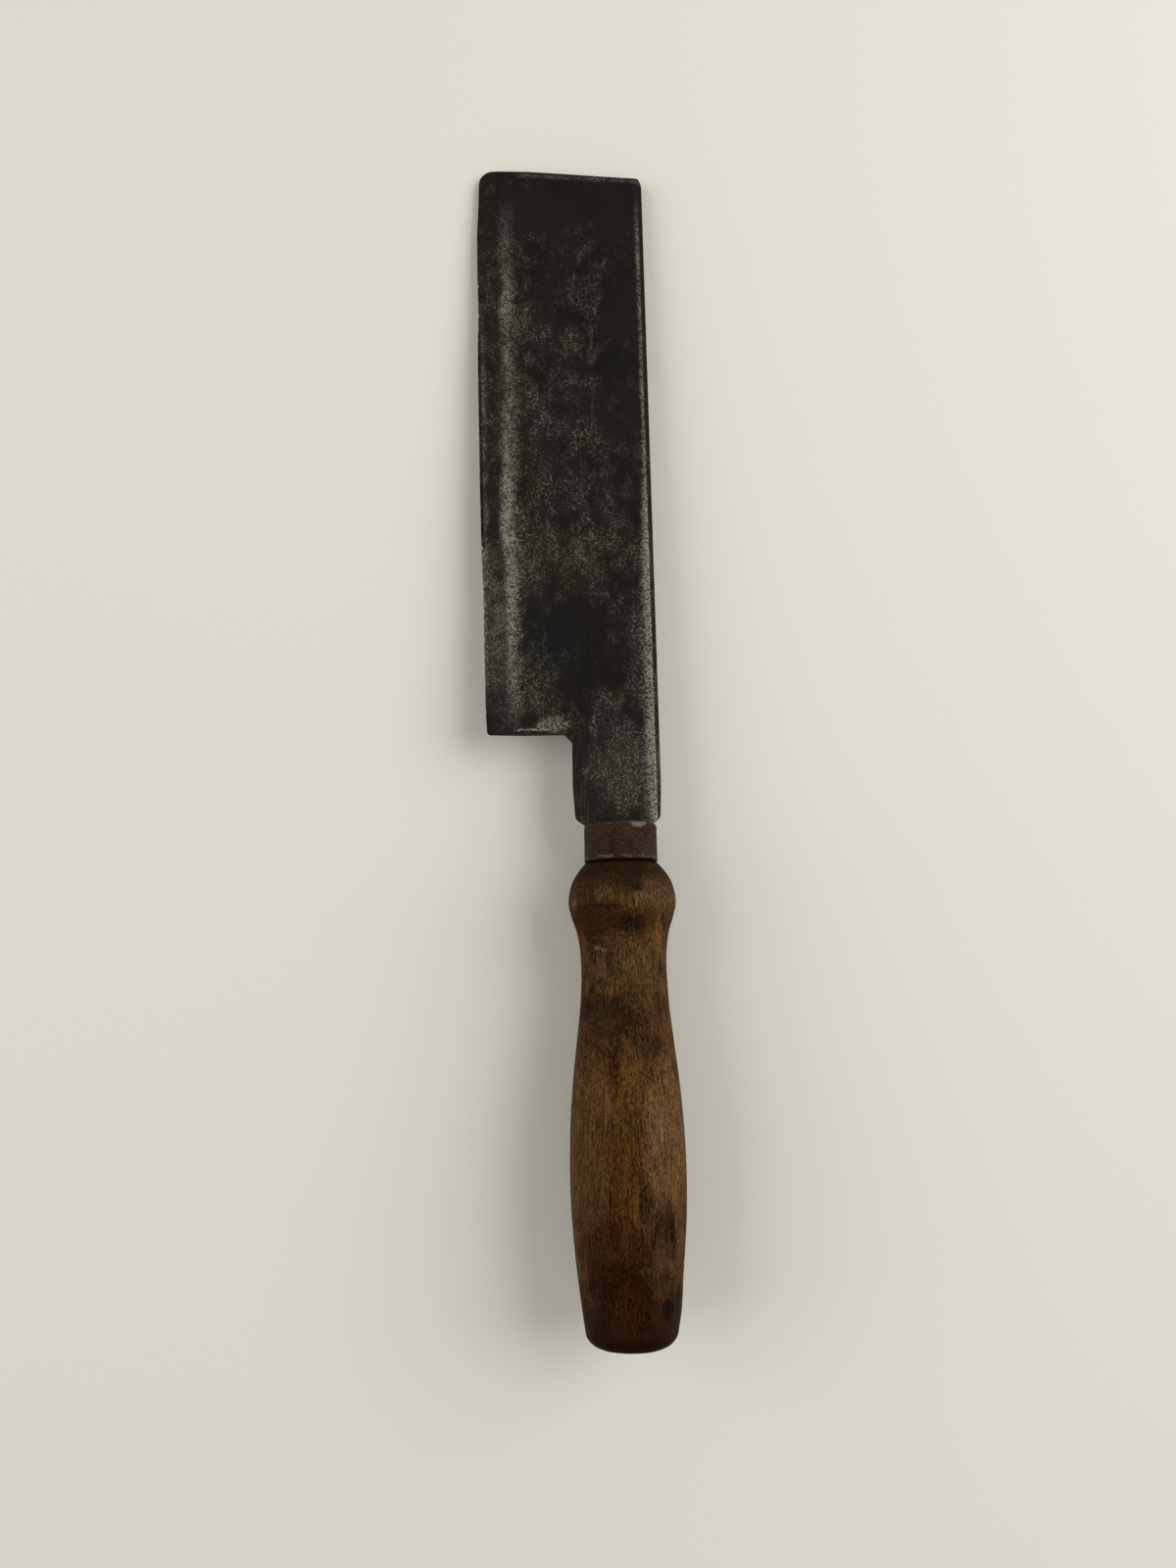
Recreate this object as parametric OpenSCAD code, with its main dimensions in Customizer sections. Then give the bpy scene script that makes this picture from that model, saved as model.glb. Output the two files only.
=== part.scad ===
// Kindling chopper: a forged blade with its tang in one piece, an iron ferrule and a turned wooden handle.
// Lengths are in millimetres. Each piece is first drawn about the handle's axis, which runs along Y:
// the tip is at +Y, the cutting edge at -X, the spine at +X, and the blade's shoulder bears on the
// ferrule at Y = 0. The whole tool is then laid down as it lies on a bench, with the bench at Z = 0.

/* [Blade] */
// Length of the blade along its spine, from the heel to the tip
blade_length = 161.2; // [130:0.2:200]
// Width of the blade at its widest, near the tip
blade_width = 47.4; // [44:0.2:52]
// How far the curved cutting edge draws in at the heel
edge_bow = 2.3; // [1:0.1:4]
// Angle of the tip, which reaches further on the side of the cutting edge
tip_rake = 6.6; // [0:0.1:8]
// Thickness of the spine at the shoulder
spine_thickness = 5.8; // [5.2:0.1:7]
// Thickness of the spine at the tip
tip_thickness = 5.2; // [4.6:0.1:5.2]
// Thickness at the heel where the flat of the blade meets the ground bevel
bevel_thickness = 4.2; // [3.8:0.1:4.8]
// Width of the ground bevel at the heel
bevel_width = 9.2; // [8:0.2:13]
// Width of the bevels along the two long corners of the spine, at the neck
spine_bevel = 1.3; // [0.9:0.1:1.6]

/* [Neck and tang] */
// Length of the neck, from the ferrule to the heel
neck_length = 24.7; // [18:0.1:32]
// Width of the neck
neck_width = 23.1; // [21:0.1:25]
// Distance from the handle's axis to the spine
spine_offset = 11; // [10:0.1:12]
// Length of the tang
tang_length = 84; // [60:1:100]
// Width of the tang at the shoulder
tang_width = 9.4; // [7:0.2:11]
// Thickness of the tang at the shoulder
tang_thickness = 5.2; // [4.4:0.1:5.2]

/* [Ferrule] */
// Outside diameter of the ferrule
ferrule_diameter = 19.05; // [18:0.05:20]
// Thickness of the ferrule's wall
ferrule_wall = 1.4; // [1:0.1:2]
// Length of the ferrule
ferrule_length = 9.9; // [8:0.1:14]

/* [Handle] */
// Length of the grip behind the ferrule
grip_length = 117; // [108:0.2:130]
// Diameter of the grip at its belly
belly_diameter = 29.2; // [27:0.1:33]
// Diameter of the pilot hole, bored before the tang is driven in
pilot_diameter = 4.6; // [3.6:0.1:5]

/* [Hidden] */
$fn = 96;
clear = 3; // how far a cutting shape reaches past what it cuts

// Outline of the blade
heel_y = neck_length;
tip_y = heel_y + blade_length;
spine_lean = 0.22; // degrees that the spine leans towards the handle's axis
function spine_x(y) = spine_offset - y * tan(spine_lean);
bow_y = heel_y + 0.87 * blade_length; // where the cutting edge reaches furthest from the axis
edge_reach = blade_width - spine_x(bow_y);
edge_radius = (pow(bow_y - heel_y, 2) + pow(edge_bow, 2)) / (2 * edge_bow);
edge_facets = 3600;
function edge_x(y) = edge_radius - edge_reach - sqrt(pow(edge_radius, 2) - pow(y - bow_y, 2));
knee_x = -22; // the tip's line eases here, towards the cutting edge
knee_radius = 90;
function tip_line(x) =
    tip_y + (spine_x(tip_y) - max(x, knee_x)) * tan(tip_rake) + max(knee_x - x, 0) * tan(tip_rake / 2);
tip_corner_radius = 3.2; // edge side
tip_wear_angle = 2.5; // the last of the edge is worn in towards the tip
tip_wear_length = 14;
spine_bevel_angle = 51; // degrees below the blade's face
spine_bevel_fade = 0.02; // degrees by which the spine's bevels narrow towards the tip
spine_tip_radius = 1.3;
heel_corner_radius = 1;
heel_corner_in = 0.2; // how far the worn corner of the heel stands back from the edge's line
heel_flare = 8; // degrees by which the outline clears the curved edge above the heel
notch_radius = 2.6; // fillet between the heel and the neck

// Shoulder, where the neck bears on the ferrule and the end of the handle
neck_x = spine_offset - neck_width;
seat_left = -9;
seat_right = 8.3;
seat_radius = 0.3;
shoulder_height = 2;
shoulder_radius = 1;
neck_draw = 0.8; // how much the neck draws in on its edge side, above the shoulder
spine_draw = 0.4; // the same on its spine side
neck_draw_y = 10;
neck_draw_radius = 6;

// Section of the blade: its faces taper from the spine to the bevel, and from the shoulder to the tip
flat_width = edge_reach + spine_offset - bevel_width;
distal_slope = atan((spine_thickness - tip_thickness) / 2 / tip_y);
heel_half = spine_thickness / 2 - heel_y * tan(distal_slope);
face_slope = atan((heel_half - bevel_thickness / 2) / flat_width);
edge_half = 0.2;
honed_width = 1.7;
honed_half = 0.62;
bevel_slope = atan((bevel_thickness / 2 - honed_half) / (bevel_width - honed_width));
tip_break = 0.9;
function face_z(x, y) = spine_thickness / 2 - (spine_offset - x) * tan(face_slope) - y * tan(distal_slope);

// Tang: a tapered square spike with a blunt point
tang_end_width = 3.6;
tang_end_thickness = 3;
tang_point = 6;
tang_point_half = 0.7;
pilot_clearance = 5;
pilot_point = 31; // degrees of the drill's point

// Turned profile of the grip: [distance behind the ferrule, diameter], as a turner gauges it
gauge = [
    [0, 18.4], [1.5, 21.2], [3.6, 24.4], [6.3, 26.6], [10.2, 27.6], [13.8, 26.4], [17.6, 23.9],
    [22.3, 22.3], [27.3, 21.8], [35, 22.4], [44.7, 24.5], [54.4, 26.7], [64.2, 28.4], [76, 29.2],
    [86, 28.8], [95.2, 27.5], [103.2, 25.8], [110.2, 24],
];
gauge_length = 117;
gauge_belly = 29.2;
gauge_steps = 3;
butt_diameter = 22;
butt_radius = 3.3;
butt_dome = 1.1; // how far the middle of the butt stands out
dome_step = 0.3; // part of the butt's radius between two points of its dome
rim_radius = 0.8;
rear_rim_radius = 0.4;
spigot_radius = ferrule_diameter / 2 - ferrule_wall;

function unit(v) = v / norm(v);

// Corner b of an outline, between its neighbours a and c, rounded to radius r
function corner(a, b, c, r, steps = 6) =
    r == 0 ? [b] :
    let (
        u = unit(a - b),
        v = unit(c - b),
        half = acos(u * v) / 2,
        centre = b + unit(u + v) * r / sin(half),
        arm = b + u * r / tan(half) - centre,
        first = atan2(arm.y, arm.x),
        sweep = sign(cross(b - a, c - b)) * (180 - 2 * half)
    )
    [for (i = [0:steps]) centre + r * [cos(first + sweep * i / steps), sin(first + sweep * i / steps)]];

// An outline given as a list of [point, corner radius]
function rounded(corners) =
    let (n = len(corners))
    [for (i = [0:n - 1]) each corner(
        corners[(i + n - 1) % n][0], corners[i][0], corners[(i + 1) % n][0], corners[i][1])];

// Slope of the gauge at its point i, and the smooth curve through all its points
function gauge_slope(i) =
    let (a = gauge[max(i - 1, 0)], b = gauge[min(i + 1, len(gauge) - 1)])
    (b[1] - a[1]) / (b[0] - a[0]);
function gauge_curve(i, t) =
    let (a = gauge[i], b = gauge[i + 1], run = b[0] - a[0])
    [
        a[0] + t * run,
        a[1] * (1 + 2 * t) * pow(1 - t, 2) + b[1] * (3 - 2 * t) * pow(t, 2)
            + run * t * (1 - t) * (gauge_slope(i) * (1 - t) - gauge_slope(i + 1) * t)
    ];
// A gauge reading as a point of the profile, [radius, height along Y]
function turned(g) = [
    g[1] / 2 * belly_diameter / gauge_belly,
    -ferrule_length - g[0] * grip_length / gauge_length
];
grip_side = [
    for (i = [0:len(gauge) - 2], k = [0:gauge_steps - 1]) turned(gauge_curve(i, k / gauge_steps)),
    turned(gauge[len(gauge) - 1]),
];
butt = turned([gauge_length, butt_diameter]);
butt_face = [for (i = [2:-1:0]) domed(i * dome_step)];
grip_profile = [
    [0, 0],
    [spigot_radius, 0],
    [spigot_radius, -ferrule_length],
    each grip_side,
    each corner(grip_side[len(grip_side) - 1], butt, butt_face[0], butt_radius),
    each butt_face,
];
// The butt's end at part t of its radius
function domed(t) = [butt.x * t, butt.y - butt_dome * (1 - pow(t, 2))];

// The blade in plan. Along the edge it stands clear of the curve that ground_edge() cuts.
blade_outline = rounded([
    [[seat_right, 0], seat_radius],
    [[spine_x(0) - spine_draw, shoulder_height], shoulder_radius],
    [[spine_x(neck_draw_y), neck_draw_y], 0],
    [[spine_x(tip_y), tip_y], spine_tip_radius],
    [[knee_x, tip_line(knee_x)], knee_radius],
    [worn_edge(tip_line(-edge_reach)), tip_corner_radius],
    [worn_edge(heel_y + clear / tan(heel_flare)), 0],
    [[-edge_reach - clear, heel_y + clear / tan(heel_flare)], 0],
    [[edge_x(heel_y) + heel_corner_in, heel_y], heel_corner_radius],
    [[neck_x, heel_y], notch_radius],
    [[neck_x, neck_draw_y], neck_draw_radius],
    [[neck_x + neck_draw, shoulder_height], shoulder_radius],
    [[seat_left, 0], seat_radius],
]);
// A point of the line along which the edge is worn in towards the tip
function worn_edge(y) = [(y - tip_y + tip_wear_length) * tan(tip_wear_angle) - edge_reach, y];

// The bevels and the honed edge: one section turned about the far centre of the curved edge
module ground_edge() {
    back = blade_width + 4 * clear;
    open = honed_half + (back - honed_width) * tan(bevel_slope);
    span = 2 * asin((bow_y + clear) / edge_radius);
    translate([edge_radius - edge_reach, bow_y, 0])
        rotate([0, 0, 180 - span / 2])
            rotate_extrude(angle = span, $fn = edge_facets)
                polygon([
                    [edge_radius, edge_half], [edge_radius - honed_width, honed_half],
                    [edge_radius - back, open], [edge_radius - back, -open],
                    [edge_radius - honed_width, -honed_half], [edge_radius, -edge_half],
                ]);
}

// All that lies under the upper face
module under_face() {
    size = 2 * tip_y;
    translate([spine_offset, 0, spine_thickness / 2])
        rotate([-distal_slope, -face_slope, 0])
            translate([-size / 2, -size / 4, -size])
                cube(size);
}

// What the bevel along the upper corner of the spine takes off
module spine_bevel_cut() {
    size = 3 * spine_thickness;
    translate([spine_offset - spine_bevel, 0, spine_thickness / 2])
        rotate([-distal_slope, 0, spine_lean - spine_bevel_fade])
            rotate([0, spine_bevel_angle, 0])
                translate([-size, -clear, 0])
                    cube([2 * size, tip_y + 3 * clear, size]);
}

// What is worn off the upper edge of the tip
module tip_wear() {
    from = [spine_x(tip_y), tip_y, face_z(spine_x(tip_y), tip_y)];
    to = [-edge_reach, tip_line(-edge_reach), face_z(-edge_reach, tip_line(-edge_reach))];
    run = to - from;
    translate(from)
        rotate([0, -asin(run.z / norm(run)), atan2(run.y, run.x)])
            rotate([45, 0, 0])
                translate([-clear, -tip_break / sqrt(2), -tip_break / sqrt(2)])
                    cube([norm(run) + 2 * clear, tip_break * sqrt(2), tip_break * sqrt(2)]);
}

module tang() {
    plan = [tang_width / 2, tang_end_width / 2];
    side = [tang_thickness / 2, tang_end_thickness / 2];
    intersection() {
        translate([0, 0, -tang_thickness])
            linear_extrude(2 * tang_thickness)
                polygon(tang_outline(plan));
        rotate([0, 90, 0])
            translate([0, 0, -tang_width])
                linear_extrude(2 * tang_width)
                    polygon(tang_outline(side));
    }
}
function tang_outline(half) = [
    [half[0], clear], [half[0], 0], [half[1], tang_point - tang_length], [tang_point_half, -tang_length],
    [-tang_point_half, -tang_length], [-half[1], tang_point - tang_length], [-half[0], 0], [-half[0], clear],
];

module forged_blade() {
    difference() {
        intersection() {
            translate([0, 0, -spine_thickness])
                linear_extrude(2 * spine_thickness)
                    polygon(blade_outline);
            under_face();
            mirror([0, 0, 1]) under_face();
            ground_edge();
        }
        for (face = [0, 1])
            mirror([0, 0, face]) {
                spine_bevel_cut();
                tip_wear();
            }
    }
    tang();
}

module turned_handle() {
    pilot_end = tang_length + pilot_clearance;
    difference() {
        rotate([-90, 0, 0]) rotate_extrude() polygon([for (p = grip_profile) [p.x, p.y]]);
        tang();
        rotate([-90, 0, 0])
            rotate_extrude()
                polygon([
                    [0, clear], [pilot_diameter / 2, clear], [pilot_diameter / 2, -pilot_end],
                    [0, -pilot_end - pilot_diameter / 2 * tan(pilot_point)],
                ]);
    }
}

module iron_ferrule() {
    outer = ferrule_diameter / 2;
    rotate([-90, 0, 0])
        rotate_extrude()
            polygon(rounded([
                [[spigot_radius, 0], 0],
                [[spigot_radius, -ferrule_length], 0],
                [[outer, -ferrule_length], rear_rim_radius],
                [[outer, 0], rim_radius],
            ]));
}

// Lying on the bench, the tool rests on the bulb of its grip and on the lower face of the tip, which
// meets the bench from the spine's bevel to the ground bevel. Both ends are [x, y] in the blade's outline.
rest_spine =
    let (x = spine_x(tip_y) - spine_bevel + tip_y * tan(spine_bevel_fade))
    [x, tip_line(x) - tip_break];
rest_bevel =
    let (
        y = tip_line(bevel_width - edge_reach) - tip_break,
        grind = honed_half - (edge_x(y) + honed_width) * tan(bevel_slope)
    )
    [(grind - face_z(0, y)) / (tan(face_slope) - tan(bevel_slope)), y];
spine_drop = face_z(rest_spine.x, rest_spine.y);
bevel_drop = face_z(rest_bevel.x, rest_bevel.y);
function lowest(angle) = max([for (p = grip_side) p.x * cos(angle) + p.y * sin(angle)]);
function grip_point(angle) =
    [for (p = grip_side) if (p.x * cos(angle) + p.y * sin(angle) == lowest(angle)) p][0];
function settle(rounds) =
    rounds == 0 ? [0, 0] :
    let (
        last = settle(rounds - 1),
        roll = atan((spine_drop - bevel_drop + (rest_spine.y - rest_bevel.y) * tan(last[0]))
            / (rest_spine.x - rest_bevel.x)),
        grip = grip_point(last[0]),
        drop = spine_drop * cos(roll) - rest_spine.x * sin(roll)
    )
    [atan((grip.x - drop) / (rest_spine.y - grip.y)), roll];
lie = settle(6);
pitch = lie[0];
roll = lie[1];

module on_bench() {
    translate([
        (edge_reach - belly_diameter / 2) / 2,
        (grip_length + ferrule_length + butt_dome - tip_line(-edge_reach)) / 2,
        lowest(pitch)
    ])
        rotate([-pitch, 0, 0])
            rotate([0, -roll, 0])
                children();
}

module blade() {
    color("#453e39") on_bench() forged_blade();
}

module ferrule() {
    color("#5f4c3e") on_bench() iron_ferrule();
}

module handle() {
    color("#7d5433") on_bench() turned_handle();
}

blade();
ferrule();
handle();
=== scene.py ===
"""Kindling chopper: the dressed model of a forged blade, an iron ferrule and a turned wooden handle.

Shapes are worked out in the tool's own frame, in millimetres: Y runs along the handle's axis with the
tip at +Y, the cutting edge is at -X, and Y = 0 is where the blade's shoulder bears on the ferrule.
lay() then puts the points where the tool lies on the bench, in metres.
"""

import math
from types import SimpleNamespace

import bpy
import numpy as np
from mathutils import Matrix, Vector, geometry, noise


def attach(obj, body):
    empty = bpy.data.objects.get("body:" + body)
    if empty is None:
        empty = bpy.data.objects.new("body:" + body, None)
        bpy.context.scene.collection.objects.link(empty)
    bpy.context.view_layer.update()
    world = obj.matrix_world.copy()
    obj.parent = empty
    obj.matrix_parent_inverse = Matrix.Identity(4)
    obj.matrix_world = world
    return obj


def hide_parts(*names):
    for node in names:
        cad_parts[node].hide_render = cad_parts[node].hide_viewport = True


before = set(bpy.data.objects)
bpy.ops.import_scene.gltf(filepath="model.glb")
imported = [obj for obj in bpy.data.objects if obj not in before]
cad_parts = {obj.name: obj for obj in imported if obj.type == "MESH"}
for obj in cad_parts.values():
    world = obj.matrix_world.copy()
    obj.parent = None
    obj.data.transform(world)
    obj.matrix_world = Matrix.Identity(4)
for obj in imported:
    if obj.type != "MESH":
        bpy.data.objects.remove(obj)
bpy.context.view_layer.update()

MM = 0.001

# Pose on the bench, as the solids have it
PITCH = math.radians(3.175)
ROLL = math.radians(0.805)
SHIFT = np.array([11.217, -31.251, 12.686])

# Blade, seen from above
SPINE_OFFSET = 11.0
SPINE_LEAN = math.tan(math.radians(0.22))
HEEL_Y = 24.7
TIP_Y = 185.9
KNEE_X = -22.0
TIP_RAKE = math.tan(math.radians(6.6))
TIP_RAKE_END = math.tan(math.radians(3.3))
EDGE_REACH = 37.03
EDGE_RADIUS = 4276.9
BOW_Y = 164.9
WEAR_SLOPE = math.tan(math.radians(2.5))
WEAR_LENGTH = 14.0

# Neck, notch and shoulder, seen from above
NECK_X = -12.18
NECK_STRAIGHT_Y = 10.0
NECK_END_Y = 2.0
NECK_END_LEFT = NECK_X + 0.5
NECK_END_RIGHT = 10.6
SHOULDER_LEFT = -9.0
SHOULDER_RIGHT = 8.3
NOTCH_FILED_X = 2.1
NOTCH_FILED_Y = 2.2

# Radii of the plan's corners
TANG_POINT_ROUND = 0.3
TANG_ROUND = 0.5
SHOULDER_ROUND = 0.6
NECK_END_ROUND = 1.2
NECK_BEND_ROUND = 6.0
SPINE_TIP_ROUND = 1.9
KNEE_ROUND = 90.0
EDGE_TIP_ROUND = 3.4
HEEL_ROUND = 1.1
NOTCH_ROUND = 0.6
NOTCH_END_ROUND = 1.2

# Blade, in section
SPINE_HALF = 2.9
FACE_SLOPE = math.tan(math.radians(1.121))
DISTAL_SLOPE = math.tan(math.radians(0.0925))
EDGE_HALF = 0.2
HONED_WIDTH = 1.7
HONED_HALF = 0.62
BEVEL_SLOPE = math.tan(math.radians(11.16))
SPINE_BEVEL = 1.3
SPINE_BEVEL_SINK = 0.1
SPINE_BEVEL_SLOPE = math.tan(math.radians(51.0))
SPINE_BEVEL_FADE = math.tan(math.radians(0.02))
TIP_BREAK = 0.9
TIP_BREAK_LIFT = 0.36
TIP_BREAK_SLOPE = 0.9
LEAST_HALF = 0.12

# Widths over which the blade's surfaces run into each other
HONED_BLEND = 0.06
BEVEL_BLEND = 0.34
SPINE_BLEND = 0.45
TIP_BLEND = 0.3

# The face rolls off before the spine and the tip: width, and drop per square millimetre
SPINE_ROLL_WIDTH = 2.6
SPINE_ROLL = 0.022
TIP_ROLL_WIDTH = 3.4
TIP_ROLL = 0.008

# Radii of the worn corners between the blade's faces and its outer wall
WORN_CORNER = 0.38
KEEN_CORNER = 0.11
HEEL_CORNER = 0.32
TIP_CORNER_GROWTH = 0.2
SHOULDER_CORNER = 0.3
TANG_CORNER = 0.2
TANG_POINT_CORNER = 0.14

# Tang, and the hole that it sits in
TANG_HALF_WIDTH = 4.7
TANG_HALF_THICK = 2.6
TANG_END_HALF_WIDTH = 1.8
TANG_END_HALF_THICK = 1.5
TANG_LENGTH = 84.0
TANG_POINT = 6.0
TANG_POINT_HALF = 0.7
TANG_END_Y = TANG_POINT - TANG_LENGTH
SHOULDER_STEP = 0.25
PILOT_RADIUS = 2.3
PILOT_END = 89.0
DRILL_SLOPE = 0.6

# Ferrule
FERRULE_RADIUS = 9.525
FERRULE_LENGTH = 9.9
FERRULE_FRONT_ROUND = 0.8
FERRULE_REAR_ROUND = 0.4
FERRULE_SIDES = 144

# Handle; the gauge gives the grip's diameter at distances behind the ferrule
SPIGOT_RADIUS = 8.125
GRIP_LENGTH = 117.0
BUTT_RADIUS = 11.0
BUTT_ROUND = 3.3
BUTT_DOME = 1.1
HANDLE_SIDES = 160
GAUGE_STEP = 0.55
GAUGE = [
    (0, 18.4), (1.5, 21.2), (3.6, 24.4), (6.3, 26.6), (10.2, 27.6), (13.8, 26.4), (17.6, 23.9),
    (22.3, 22.3), (27.3, 21.8), (35, 22.4), (44.7, 24.5), (54.4, 26.7), (64.2, 28.4), (76, 29.2),
    (86, 28.8), (95.2, 27.5), (103.2, 25.8), (110.2, 24),
]

# Mesh of the blade: steps along the outline, rings over its worn corner in corner radii, rows down
# the wall, and lines at distances from the edge, spine and tip
EDGE_SIDE_X = -30.0
EDGE_STEP = 0.5
EDGE_PIECE = 0.22
RIM_PIECE = 0.7
RIM_STEPS = np.array([0, 0.08, 0.3, 0.62, 1.0, 1.7])
WALL_ROWS = 3
LINES_FROM_EDGE = np.array([
    0.45, 0.8, 1.2, 1.6, 2.0, 2.5, 3.2, 4.0, 4.8, 5.6, 6.2, 6.8, 7.4, 8.0, 8.6, 9.2, 9.8, 10.6, 11.5,
])
LINES_FROM_SPINE = np.array([4.4, 3.8, 3.3, 2.8, 2.4, 2.05, 1.75, 1.5, 1.3, 1.1, 0.9, 0.65])
ROWS_FROM_TIP = np.array([5, 4.4, 3.8, 3.2, 2.7, 2.3, 1.9, 1.6, 1.3, 1.05, 0.8, 0.6, 0.4])
MIDDLE_LINES = 26
CLEAR_OF_EDGE = 0.16
CLEAR_OF_RIM = 0.3

# Hand-ground waves of the cutting edge, as (y, how far in, length)
EDGE_WAVES = [
    (62, 0.25, 15), (110, 0.1, 14), (30, -0.1, 8), (146, 0.3, 7),
    (158, 0.12, 9), (178, 0.1, 9), (88, 0.05, 6), (134, 0.05, 9),
]
# Nicks of the cutting edge, as (y, depth, width)
NICKS = [
    (154.8, 0.34, 0.4), (149.6, 0.1, 0.4), (145.7, 0.26, 0.45), (141.5, 0.16, 0.5),
    (138.2, 0.1, 0.35), (126.0, 0.06, 0.7), (118.4, 0.07, 0.4), (111.0, 0.05, 0.4),
    (99.5, 0.08, 0.5), (84.5, 0.06, 0.4), (76.9, 0.36, 0.45), (71.5, 0.08, 0.5),
    (66.0, 0.2, 0.5), (64.4, 0.24, 0.4), (58.9, 0.26, 0.45), (51.2, 0.09, 0.5),
    (44.0, 0.12, 0.4), (39.2, 0.07, 0.5), (31.0, 0.08, 0.5),
]
# Dents of the turned pieces, as (y, angle in degrees round from +X, length, width, depth)
HANDLE_DENTS = [
    (-32.1, 126, 1.3, 1.8, 0.16), (-24.6, 85, 1.0, 1.6, 0.12), (-98, 46, 5.5, 0.5, 0.22),
    (-107, 45, 4.0, 0.45, 0.18), (-118, 49, 1.4, 1.1, 0.14), (-49, 110, 2.2, 2.4, 0.1),
    (-58, 66, 1.0, 1.5, 0.08), (-70, 130, 1.6, 1.1, 0.1), (-84, 98, 1.2, 1.6, 0.07),
    (-92, 150, 2.0, 1.2, 0.12), (-111, 100, 1.2, 2.0, 0.09), (-104, 20, 1.8, 1.2, 0.1),
    (-40, 40, 1.1, 1.3, 0.09), (-20, 40, 1.3, 1.0, 0.08), (-18, 140, 1.0, 1.6, 0.08),
    (-64, 20, 1.5, 1.1, 0.1), (-76, 250, 2.4, 1.5, 0.14), (-48, 300, 1.6, 2.2, 0.12),
    (-100, 280, 2.0, 1.6, 0.1), (-30, 220, 1.5, 1.5, 0.1), (-88, 330, 1.2, 2.0, 0.1),
    (-60, 190, 1.8, 1.2, 0.1), (-22, 265, 1.2, 1.4, 0.1), (-115, 200, 1.5, 1.5, 0.12),
]
FERRULE_DENTS = [
    (-0.3, 62, 0.9, 1.8, 0.22), (-0.2, 118, 0.9, 1.8, 0.12), (-9.6, 95, 0.9, 1.8, 0.1),
    (-5, 150, 0.9, 1.8, 0.08), (-6, 40, 0.9, 1.8, 0.07), (-3, -60, 0.9, 1.8, 0.1),
]

# Colours of the blade
SKIN_BLACK = (0.0082, 0.007, 0.0053)
SKIN_BROWN = (0.0118, 0.0092, 0.0072)
SKIN_BLUE = (0.008, 0.0088, 0.008)
SKIN_OLIVE = (0.0165, 0.013, 0.0058)
SKIN_BEVEL = (0.0135, 0.0095, 0.0085)
SKIN_NECK = (0.017, 0.0145, 0.0105)
SKIN_RUST = (0.02, 0.011, 0.0075)
SKIN_GRIT = (0.004, 0.0033, 0.0025)
# painted shade on the spine's bevel and along the cutting edge
RIM_SHADE_BLACK = (0.003, 0.0022, 0.0016)
SPINE_RED = (0.048, 0.027, 0.017)
HAZE_WARM = (0.115, 0.098, 0.069)
HAZE_GREY = (0.104, 0.094, 0.072)
HAZE_OLIVE = (0.105, 0.086, 0.048)
SCRATCH_GREY = (0.085, 0.076, 0.06)
# worn bare steel, in part a painted highlight
BARE_STEEL_AND_GLINT = (0.235, 0.212, 0.164)
PIT_BLACK = (0.0085, 0.007, 0.0052)

# Colours of the ferrule
IRON_DARK = (0.012, 0.0052, 0.0024)
IRON_RUST = (0.027, 0.013, 0.006)
IRON_SIDE_SHEEN = (0.022, 0.016, 0.0092)
IRON_GRAIN = (0.05, 0.028, 0.014)
IRON_SPECK = (0.095, 0.072, 0.045)
IRON_PIT = (0.008, 0.0045, 0.0024)
IRON_RIM = (0.09, 0.07, 0.05)
IRON_LIP = (0.135, 0.086, 0.04)
IRON_BARE = (0.145, 0.128, 0.1)
IRON_REAR_SHADE = (0.003, 0.0018, 0.0012)

# Colours of the handle
WOOD_DARK = (0.011, 0.0034, 0.0006)
WOOD_LIGHT = (0.118, 0.054, 0.0165)
WOOD_BROWN = (0.04, 0.0125, 0.0028)
WOOD_DIRT = (0.015, 0.0075, 0.003)
WOOD_PORE = (0.0075, 0.003, 0.0008)
TURNED_RING = (0.013, 0.0055, 0.0024)
BULB_SHADE_LINE = (0.008, 0.0035, 0.0014)
FRONT_GRIME = (0.0088, 0.0053, 0.0018)
FRONT_SHADE = (0.0022, 0.0011, 0.0005)
BUTT_BROWN = (0.011, 0.003, 0.0005)
END_GRAIN = (0.0055, 0.0022, 0.0008)

# Places of the blade's finish, as (x, y), and the angle of its grinding marks
BLUE_PLACE = (-17, 49)
OLIVE_PLACE = (-12, 73)
CALM_PLACE = (-12, 49)
SMEAR_PLACE = (-17.0, 26.6)
LARGEST_NICK_Y = 76.8
GRINDING_ANGLE = math.radians(30)
# The tip's line for its finish: x at the spine, and mean rake
TIP_SPINE_X = 10.3
TIP_MEAN_RAKE = 0.106

# Places where the blade's patina is rubbed thin, as (x, y, half width, half length, strength)
THIN_PATCHES = [
    (-9, 75, 24, 12, 1.05), (-6, 79, 7, 9, 0.95), (-17, 91, 12, 9, 0.8), (-21, 118, 9, 10, 0.75),
    (-12, 122, 12, 10, 0.45), (-6, 106, 9, 11, 0.75), (-3, 92, 9, 9, 0.4), (-17, 136, 10, 9, 0.75),
    (-8, 136, 8, 10, 0.7), (-8, 150, 8, 9, 0.85), (-9, 166, 9, 8, 0.5), (-4, 160, 5, 10, 0.3),
    (-14, 108, 9, 9, 0.4), (-19, 43, 10, 10, 0.55), (-20, 34, 8, 6, 0.85),
    (-18.5, 26.6, 6.0, 2.0, 1.7), (-12.8, 27.6, 5.5, 3.0, 0.9), (-1, 33, 7, 6, 0.75),
    (-2, 26, 8, 7, 1.05), (-7, 46, 8, 6, 0.25), (5, 52, 5, 12, 0.75), (5.5, 36, 5, 9, 0.9),
    (6.5, 74, 3.5, 12, 0.5), (-24, 100, 5, 30, 0.45), (-24, 146, 4, 12, 0.6), (-24, 36, 6, 10, 0.9),
    (-25, 74, 5, 9, 0.9), (3, 12, 10, 13, 1.35), (-5, 14, 7, 9, 1.0), (3, 21, 9, 8, 1.2),
    (-3, 62, 12, 5, 0.2),
]
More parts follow.
